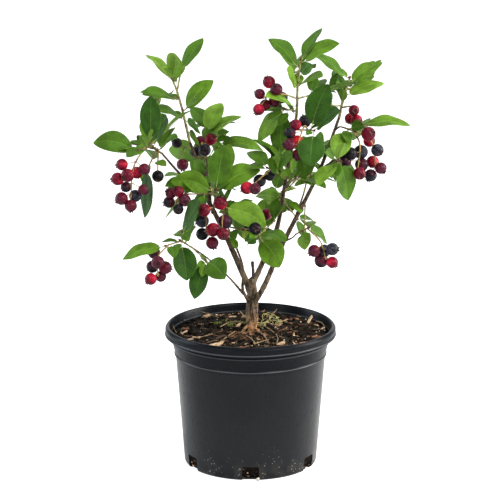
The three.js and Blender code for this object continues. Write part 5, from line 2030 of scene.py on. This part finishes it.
def add_leaf_stalk(shape, leaf):
    """The stalk, running on as the raised midrib under the blade"""
    at = leaf_frame(leaf)
    base, _, face = at(0)
    out = (leaf.heading + 0.5 * leaf.twig_heading).normalized()
    thick = LEAF_STALK_RADII[0 if leaf.length > SMALL_LEAF * LEAF_LENGTH else 1]
    path = bent_path(leaf.foot, out, base - face * 0.15, leaf.heading, 5)
    radii = [thick * 1.35, thick, thick * 0.9, thick * 0.9, thick, thick]
    for k in range(1, MIDRIB_STEPS + 1):
        share = 0.12 * k
        centre, _, face = at(share)
        path.append(centre - face * (leaf.width * 0.08 * blade_fullness(share) + 0.1))
        radii.append(thick * (1 - k / (MIDRIB_STEPS + 1)) * 0.8 + 0.04)
    shape.add_tube(path_rings(path, radii, STALK_SIDES))


def blade_fullness(share):
    """Half the width of a leaf at each share of its length, as a part of its widest"""
    return max(0.0, math.sin(math.pi * share ** 0.92)) ** (0.56 + 0.2 * share ** 3)


def add_blade(shape, leaf, sizes):
    """A folded, arched blade with fine teeth along its edge"""
    at = leaf_frame(leaf)
    fold = sizes.leaf_fold * (0.5 + chance(leaf.seed, 3))
    curl = 0.5 * fold + 0.25 * (chance(leaf.seed, 4) - 0.3)
    wave = 0.07 * chance(leaf.seed, 5)
    phase = math.tau * chance(leaf.seed, 6)
    rows = []
    places = []
    stations = 2 * sizes.leaf_teeth
    for i in range(stations + 1):
        share = i / stations
        centre, side, face = at(share)
        half = leaf.width / 2 * max(0.012, blade_fullness(share))
        notch = sizes.tooth_depth if i % 2 and share > TEETH_FROM else 0.0
        row = []
        for column in BLADE_COLUMNS:
            reach = column * (1 - notch) if abs(column) == 1 else column
            height = fold * abs(reach) - curl * reach * reach - 0.12
            height += wave * abs(reach) ** 2 * math.sin(phase + 11 * share + (2 if column > 0 else 0))
            row.append(centre + side * (half * reach) + face * (half * height))
            places.append((0.5 + 0.5 * column, share))
        rows.append(row)
    shape.add_sheet(rows, places)


# Tints are lighter and darker greens, dealt out partly for how lit each leaf shows: painted light and shade
# as well as the leaves' own greens
TINTS = {"y": "young", "b": "bright", "m": "middle", "d": "deep", "k": "dark", "i": "inner"}
TINT_SHARES = (("bright", 0.25), ("middle", 0.6), ("deep", 1.0))


def tint_of(leaf):
    """The finish of a leaf: its own where it has one, and else dealt out by the rule"""
    if leaf.tint and leaf.tint != "i":
        return TINTS[leaf.tint]
    draw = chance(leaf.seed, DRAW["tint"])
    if leaf.tint == "i":
        return "deep" if draw < 0.62 else "middle"
    return next(tint for tint, share in TINT_SHARES if draw <= share)


def make_twigs(_, colours):
    shapes = twig_shapes()
    brown = skin_material("twig_bark", 480.0, colours.twig, colours.young_bark, colours.green_skin,
                          colours.bark_speck, 0.0002)
    green = skin_material("green_twig", 420.0, colours.green_skin, colours.young_bark,
                          toned(1.25, colours.green_skin), colours.bark_speck, 0.0001)
    stalk = skin_material("leaf_stalk", 380.0, colours.stalk, colours.green_skin, toned(1.2, colours.stalk),
                          toned(1.3, colours.stalk), 0.00005)
    fruit_stalk = skin_material("fruit_stalk", 300.0, colours.fruit_stalk, colours.young_bark, colours.stalk,
                                colours.stalk, 0.00005)
    bud = skin_material("bud_scales", 700.0, *BUD_SCALES, 0.0001)
    make_piece("twigs_brown", shapes["brown"], brown, MASS_NODES)
    make_piece("twigs_green", shapes["green"], green, MASS_NODES)
    make_piece("leaf_stalks", shapes["stalks"], stalk, MASS_NODES)
    make_piece("fruit_stalks", shapes["fruit_stalks"], fruit_stalk, MASS_NODES)
    make_piece("twig_buds", shapes["buds"], bud, MASS_NODES)


def make_leaves(sizes, colours):
    shapes = {}
    for mass in bush()[1]:
        for leaf in mass.leaves:
            add_blade(shapes.setdefault(tint_of(leaf), Shape()), leaf, sizes)
    for tint, shape in shapes.items():
        blade = getattr(colours, "leaf_" + tint)
        shade = toned(0.48, blade)
        under = [0.9 * c + 0.25 * pale for c, pale in zip(blade, colours.leaf_under)]
        vein = [1.2 * c + 0.35 * pale for c, pale in zip(blade, colours.leaf_vein)]
        material = leaf_material("leaf_" + tint, blade, shade, under, vein)
        make_piece("leaves_" + tint, shape, material, MASS_NODES)


# Finishes by letter; some berries that lie in shade have a darker letter than their ripeness, as painted
# shade
RIPENESS = {"r": "red", "o": "orange", "d": "dark", "p": "purple", "k": "black", "b": "bloomed"}


def berry_outline(size):
    """A fruit from its foot to the shallow eye at its end"""
    outline = []
    for k in range(BERRY_RINGS):
        angle = math.pi * (0.03 + 0.86 * k / (BERRY_RINGS - 1))
        outline.append((size * math.sin(angle) ** 0.95, -size * 0.97 * math.cos(angle)))
    return [*outline, (0.24 * size, 0.86 * size), (0.05 * size, 0.8 * size)]


def add_crown(crowns, berry, centre, size):
    """The five points of a fruit's dried crown, each a thin leaf with two sides"""
    one = berry.outward.orthogonal().normalized()
    for k in range(CROWN_POINTS):
        across = turned(one, berry.outward, math.tau * (k / CROWN_POINTS + chance(berry.seed, 2)))
        side = berry.outward.cross(across)
        spread = 0.16 + 0.12 * chance(berry.seed, k + 3)
        rise = 1.06 + 0.08 * chance(berry.seed, k + 9)
        base = centre + berry.outward * (0.86 * size) + across * (0.27 * size)
        tip = centre + berry.outward * (rise * size) + across * ((0.3 + spread) * size)
        middle = (base + tip) / 2 + berry.outward * (0.07 * size)
        halves = ((base, 0.2), (middle, 0.13), (tip, 0.02))
        rows = [[point - side * half * size, point + side * half * size] for point, half in halves]
        crowns.add_sheet(rows)
        crowns.add_sheet([[corner - across * 0.06 * size for corner in reversed(row)] for row in rows])


def add_berry(shape, crowns, berry):
    """A round fruit with its dried crown"""
    size = berry.radius * FRUIT_FULLNESS * berry.fullness
    centre = berry.foot + berry.outward * berry.reach
    shape.add_lathe(berry_outline(size), centre, berry.outward, BERRY_SIDES, chance(berry.seed, 1))
    add_crown(crowns, berry, centre, size)


def make_fruit(_, colours):
    shapes = {name: Shape() for name in RIPENESS.values()}
    crowns = Shape()
    for mass in bush()[1]:
        for berry in mass.berries:
            add_berry(shapes[RIPENESS[berry.ripeness]], crowns, berry)
    fruiting = [mass.plan["name"] for mass in bush()[1] if mass.berries]
    # Each finish: its skin, the darker colour painted towards its crown end as shade and in random patches,
    # and its share of bloom
    finishes = {
        "red": (colours.fruit_red, colours.fruit_dark, 0.0),
        "orange": (colours.fruit_orange, colours.fruit_red, 0.0),
        "dark": (colours.fruit_dark, colours.fruit_purple, 0.04),
        "purple": (colours.fruit_purple, colours.fruit_black, 0.12),
        "black": (colours.fruit_black, toned(0.6, colours.fruit_black), 0.08),
        "bloomed": (colours.fruit_black, colours.fruit_black, 0.95),
    }
    for name, shape in shapes.items():
        skin, blush_and_shade, bloom_share = finishes[name]
        material = fruit_material("fruit_" + name, skin, blush_and_shade, bloom_share, colours.bloom)
        make_piece("fruit_" + name, shape, material, fruiting)
    crown = skin_material("dried_crown", 600.0, *DRIED_CROWN, 0.0001)
    make_piece("fruit_crowns", crowns, crown, fruiting)


# Stage

# Each soft light: its place and its size across and up in metres, its power in watts and its colour
LIGHTS = {
    "key": ((1.6, -2.1, 2.0), (1.3, 1.3), 66, (1.0, 0.98, 0.95)),
    "fill": ((-1.7, -2.1, 1.4), (1.5, 1.5), 30, (0.97, 0.98, 1.0)),
    "left_strip": ((-1.4, 0.3, 0.6), (0.7, 1.4), 17, (0.8, 0.91, 1.0)),
    "right_strip": ((1.38, 0.05, 0.7), (0.8, 1.2), 34, (1.0, 0.98, 0.95)),
    "top": ((0.1, 0.0, 2.1), (1.4, 1.4), 18, (1.0, 1.0, 1.0)),
    "backdrop": ((0.0, 4.0, 1.4), (5.6, 2.6), 44, (1.0, 1.0, 1.0)),
}
LIGHT_AIM = Vector((0, 0, 0.26))
WHITE = (1.0, 1.0, 1.0, 1.0)
# The nearest and the farthest that the camera sees, in metres
CLIP_RANGE = (0.05, 60)


def aim(thing, place, target):
    thing.location = place
    thing.rotation_euler = (Vector(target) - Vector(place)).to_track_quat("-Z", "Y").to_euler()


def make_floor(sizes, colours):
    half = sizes.floor_size / 2
    corners = [(-half, -half, 0), (half, -half, 0), (half, half, 0), (-half, half, 0)]
    mesh = bpy.data.meshes.new("floor")
    mesh.from_pydata(corners, [], [(0, 1, 2, 3)])
    mesh.materials.append(floor_material(colours))
    floor = link("pale_floor", mesh)


def make_lights():
    for name, (place, size, power, colour) in LIGHTS.items():
        light = bpy.data.lights.new(name, "AREA")
        light.shape = "RECTANGLE"
        light.size, light.size_y = size
        light.energy = power
        light.color = colour
        aim(link(name, light), place, LIGHT_AIM)


def make_surround(sizes):
    """The studio all round, which lights the bush softly and shows white"""
    world = bpy.data.worlds.new("studio")
    world.use_nodes = True
    background = world.node_tree.nodes["Background"]
    background.inputs["Color"].default_value = WHITE
    nodes = Tree(world.node_tree)
    seen = nodes.node("ShaderNodeLightPath").outputs["Is Camera Ray"]
    nodes.put(background.inputs["Strength"], nodes.mix_values(seen, sizes.sky_strength, 1.0))
    bpy.context.scene.world = world


def make_camera():
    """The camera at the photo's own viewpoint"""
    data = bpy.data.cameras.new("camera")
    data.sensor_width = SENSOR_WIDTH
    data.lens = FOCAL_PIXELS / PICTURE_PIXELS * SENSOR_WIDTH
    data.shift_x = (PICTURE_PIXELS / 2 - PICTURE_CENTRE) / PICTURE_PIXELS
    data.clip_start, data.clip_end = CLIP_RANGE
    camera = link("camera", data)
    aim(camera, EYE * MM, (0, 0, AIM_HEIGHT * MM))
    bpy.context.scene.camera = camera


def make_stage(sizes, colours):
    make_floor(sizes, colours)
    make_lights()
    make_surround(sizes)
    make_camera()
    bpy.context.scene.view_settings.view_transform = "Standard"


# Settings

def colour_property(name, description, value):
    return FloatVectorProperty(
        name=name, description=description, default=value, subtype="COLOR", size=3, min=0.0, max=1.0,
    )


class BushSizes(bpy.types.PropertyGroup):
    """Sizes and counts of the potted bush"""
    pot_sides: IntProperty(
        name="Pot sides", description="Faces round the pot", default=160, min=24,
    )
    leaf_teeth: IntProperty(
        name="Leaf teeth", description="Teeth along each edge of a leaf", default=15, min=4,
    )
    tooth_depth: FloatProperty(
        name="Tooth depth", description="Depth of a tooth as a part of the leaf's half width", default=0.025,
        subtype="FACTOR", min=0.0, max=0.4,
    )
    leaf_fold: FloatProperty(
        name="Leaf fold", description="How far a leaf's halves rise from its midrib", default=0.34,
        subtype="FACTOR", min=0.0, max=1.0,
    )
    bark_relief: FloatProperty(
        name="Bark relief", description="Height of the bark's plates on the old wood", default=0.0007,
        unit="LENGTH", precision=5,
    )
    limb_voxel: FloatProperty(
        name="Limb detail", description="Face size of the trunk and boughs", default=0.00048, unit="LENGTH",
        precision=5,
    )
    chip_count: IntProperty(
        name="Chips", description="Chips of bark strewn over the mix", default=1150, min=0,
    )
    seed: IntProperty(name="Seed", description="Seed of the strewn pieces", default=5, min=0)
    floor_size: FloatProperty(name="Floor", description="Width of the floor", default=24.0, unit="LENGTH")
    sky_strength: FloatProperty(
        name="Surround light", description="Brightness of the studio all round", default=0.3, min=0.0,
    )


class BushColours(bpy.types.PropertyGroup):
    """Base colours of the potted bush"""
    plastic: colour_property("Plastic", "Black plastic of the pot", (0.003, 0.0042, 0.0062))
    plastic_worn: colour_property("Worn plastic", "Plastic where it is rubbed", (0.005, 0.006, 0.008))
    # This colour is painted along the lip's foot and the ridges as highlight lines
    ridge_highlight: colour_property("Ridge highlights", "Painted highlight lines along the lip and ridges", (0.058, 0.062, 0.068))
    dust: colour_property("Dust", "Dry dust and grit on the pot", (0.42, 0.38, 0.31))
    mix_dark: colour_property("Potting mix", "Fine crumbs of the mix", (0.005, 0.0035, 0.0025))
    chip_dark: colour_property("Dark chips", "Old wet bark", (0.011, 0.0075, 0.005))
    chip_brown: colour_property("Brown chips", "Bark", (0.055, 0.031, 0.018))
    chip_red: colour_property("Red chips", "Fresh bark", (0.24, 0.12, 0.07))
    chip_tan: colour_property("Tan chips", "Bare wood", (0.56, 0.38, 0.24))
    straw: colour_property("Straw", "Dry stems on the mix", (0.3, 0.21, 0.12))
    root: colour_property("Fine roots", "Thin roots in front of the trunk", (0.17, 0.09, 0.045))
    curl: colour_property("Dry curls", "Curled yellow-green growth beside the trunk", (0.56, 0.52, 0.21))
    moss: colour_property("Moss", "Low green growth beside the trunk", (0.19, 0.23, 0.045))
    grain: colour_property("Pale grains", "White grains in the mix", (0.56, 0.53, 0.47))
    bark: colour_property("Bark", "Bark of the old wood", (0.145, 0.096, 0.056))
    bark_crack: colour_property("Bark cracks", "Between the plates", (0.018, 0.012, 0.008))
    bark_plate: colour_property("Bark plates", "Pale edges of the plates", (0.25, 0.2, 0.14))
    bark_speck: colour_property("Bark specks", "Pale pores", (0.6, 0.54, 0.44))
    foot_bark: colour_property("Foot", "Flaking tan bark at the foot", (0.52, 0.27, 0.11))
    young_bark: colour_property("Young bark", "Bark of the younger wood", (0.085, 0.052, 0.03))
    twig: colour_property("Twigs", "Olive brown skin of the twigs", (0.17, 0.12, 0.045))
    green_skin: colour_property("Green skin", "Skin of the green shoots", (0.25, 0.24, 0.07))
    stalk: colour_property("Leaf stalks", "Stalks and midribs", (0.25, 0.34, 0.1))
    fruit_stalk: colour_property("Fruit stalks", "Stalks of the berries", (0.42, 0.26, 0.09))
    # The bright, middle, deep and dark leaves stand partly for leaves in more and less light, as painted
    # light and shade, and partly for their own greens
    leaf_bright: colour_property("Bright leaves", "Fresh green leaves", (0.15, 0.29, 0.024))
    leaf_middle: colour_property("Middle leaves", "Grown leaves", (0.096, 0.208, 0.011))
    leaf_deep: colour_property("Deep leaves", "Full-grown leaves", (0.058, 0.142, 0.008))
    leaf_dark: colour_property("Dark leaves", "Dark leaves in the shade", (0.025, 0.084, 0.005))
    leaf_young: colour_property("Young leaves", "Yellow-green leaves at the tips", (0.27, 0.4, 0.05))
    leaf_under: colour_property("Undersides", "Undersides of the leaves", (0.2, 0.29, 0.09))
    leaf_vein: colour_property("Veins", "Midribs, veins and edges", (0.32, 0.45, 0.1))
    # Berries that lie in shade take the darker finishes too, as painted shade
    fruit_red: colour_property("Red fruit", "Half-ripe fruit", (0.4, 0.007, 0.03))
    fruit_orange: colour_property("Orange fruit", "Unripe fruit", (0.62, 0.018, 0.03))
    fruit_dark: colour_property("Dark red fruit", "Fruit that is nearly ripe", (0.098, 0.0025, 0.012))
    fruit_purple: colour_property("Purple fruit", "Ripe fruit", (0.062, 0.006, 0.018))
    fruit_black: colour_property("Blue-black fruit", "Fully ripe fruit", (0.006, 0.006, 0.009))
    bloom: colour_property("Bloom", "Wax on the ripe fruit", (0.07, 0.076, 0.115))
    floor: colour_property("Floor", "Plain pale floor", (0.72, 0.72, 0.72))
    floor_glow: colour_property("Floor glow", "Light that the floor adds in the picture", (0.75, 0.75, 0.75))


def settings():
    scene = bpy.context.scene
    return scene.bush_sizes, scene.bush_colours


# Operators

class BUSH_OT_pot(bpy.types.Operator):
    """Turn the pot with its rolled lip, ridges and drain notches"""
    bl_idname = "bush.make_pot"
    bl_label = "Pot"

    def execute(self, context):
        make_pot(*settings())
        return {"FINISHED"}


class BUSH_OT_mix(bpy.types.Operator):
    """Fill the pot with bark chips, straws, fine roots, dry curls, moss and pale grains"""
    bl_idname = "bush.make_mix"
    bl_label = "Potting mix"

    def execute(self, context):
        make_mix(*settings())
        return {"FINISHED"}


class BUSH_OT_limbs(bpy.types.Operator):
    """Grow the trunk and the boughs together, with the bark's relief"""
    bl_idname = "bush.make_limbs"
    bl_label = "Trunk and boughs"

    def execute(self, context):
        make_limbs(*settings())
        return {"FINISHED"}


class BUSH_OT_twigs(bpy.types.Operator):
    """Grow the twigs, stalks and buds on from the boughs"""
    bl_idname = "bush.make_twigs"
    bl_label = "Twigs"

    def execute(self, context):
        make_twigs(*settings())
        return {"FINISHED"}


class BUSH_OT_leaves(bpy.types.Operator):
    """Hang the leaves on their stalks, each tint in a piece of its own"""
    bl_idname = "bush.make_leaves"
    bl_label = "Leaves"

    def execute(self, context):
        make_leaves(*settings())
        return {"FINISHED"}


class BUSH_OT_fruit(bpy.types.Operator):
    """Hang the berries, each ripeness in a piece of its own"""
    bl_idname = "bush.make_fruit"
    bl_label = "Fruit"

    def execute(self, context):
        make_fruit(*settings())
        return {"FINISHED"}


class BUSH_OT_stage(bpy.types.Operator):
    """Set the pale floor, the soft lights and the camera"""
    bl_idname = "bush.make_stage"
    bl_label = "Stage"

    def execute(self, context):
        make_stage(*settings())
        return {"FINISHED"}


OPERATORS = (
    BUSH_OT_pot, BUSH_OT_mix, BUSH_OT_limbs, BUSH_OT_twigs, BUSH_OT_leaves, BUSH_OT_fruit, BUSH_OT_stage,
)


class BUSH_PT_panel(bpy.types.Panel):
    """Lists the settings and the pieces in the sidebar"""
    bl_idname = "BUSH_PT_panel"
    bl_label = "Potted serviceberry"
    bl_space_type = "VIEW_3D"
    bl_region_type = "UI"
    bl_category = "Bush"

    def draw(self, context):
        for group in settings():
            box = self.layout.box()
            for name in group.__annotations__:
                box.prop(group, name)
        for operator in OPERATORS:
            self.layout.operator(operator.bl_idname)


CLASSES = (BushSizes, BushColours, *OPERATORS, BUSH_PT_panel)


def register():
    for cls in CLASSES:
        bpy.utils.register_class(cls)
    bpy.types.Scene.bush_sizes = PointerProperty(type=BushSizes)
    bpy.types.Scene.bush_colours = PointerProperty(type=BushColours)


def unregister():
    del bpy.types.Scene.bush_colours
    del bpy.types.Scene.bush_sizes
    for cls in reversed(CLASSES):
        bpy.utils.unregister_class(cls)


def main():
    register()
    bpy.ops.bush.make_stage()
    bpy.ops.bush.make_pot()
    bpy.ops.bush.make_mix()
    bpy.ops.bush.make_limbs()
    bpy.ops.bush.make_twigs()
    bpy.ops.bush.make_leaves()
    bpy.ops.bush.make_fruit()


if __name__ == "__main__":
    main()
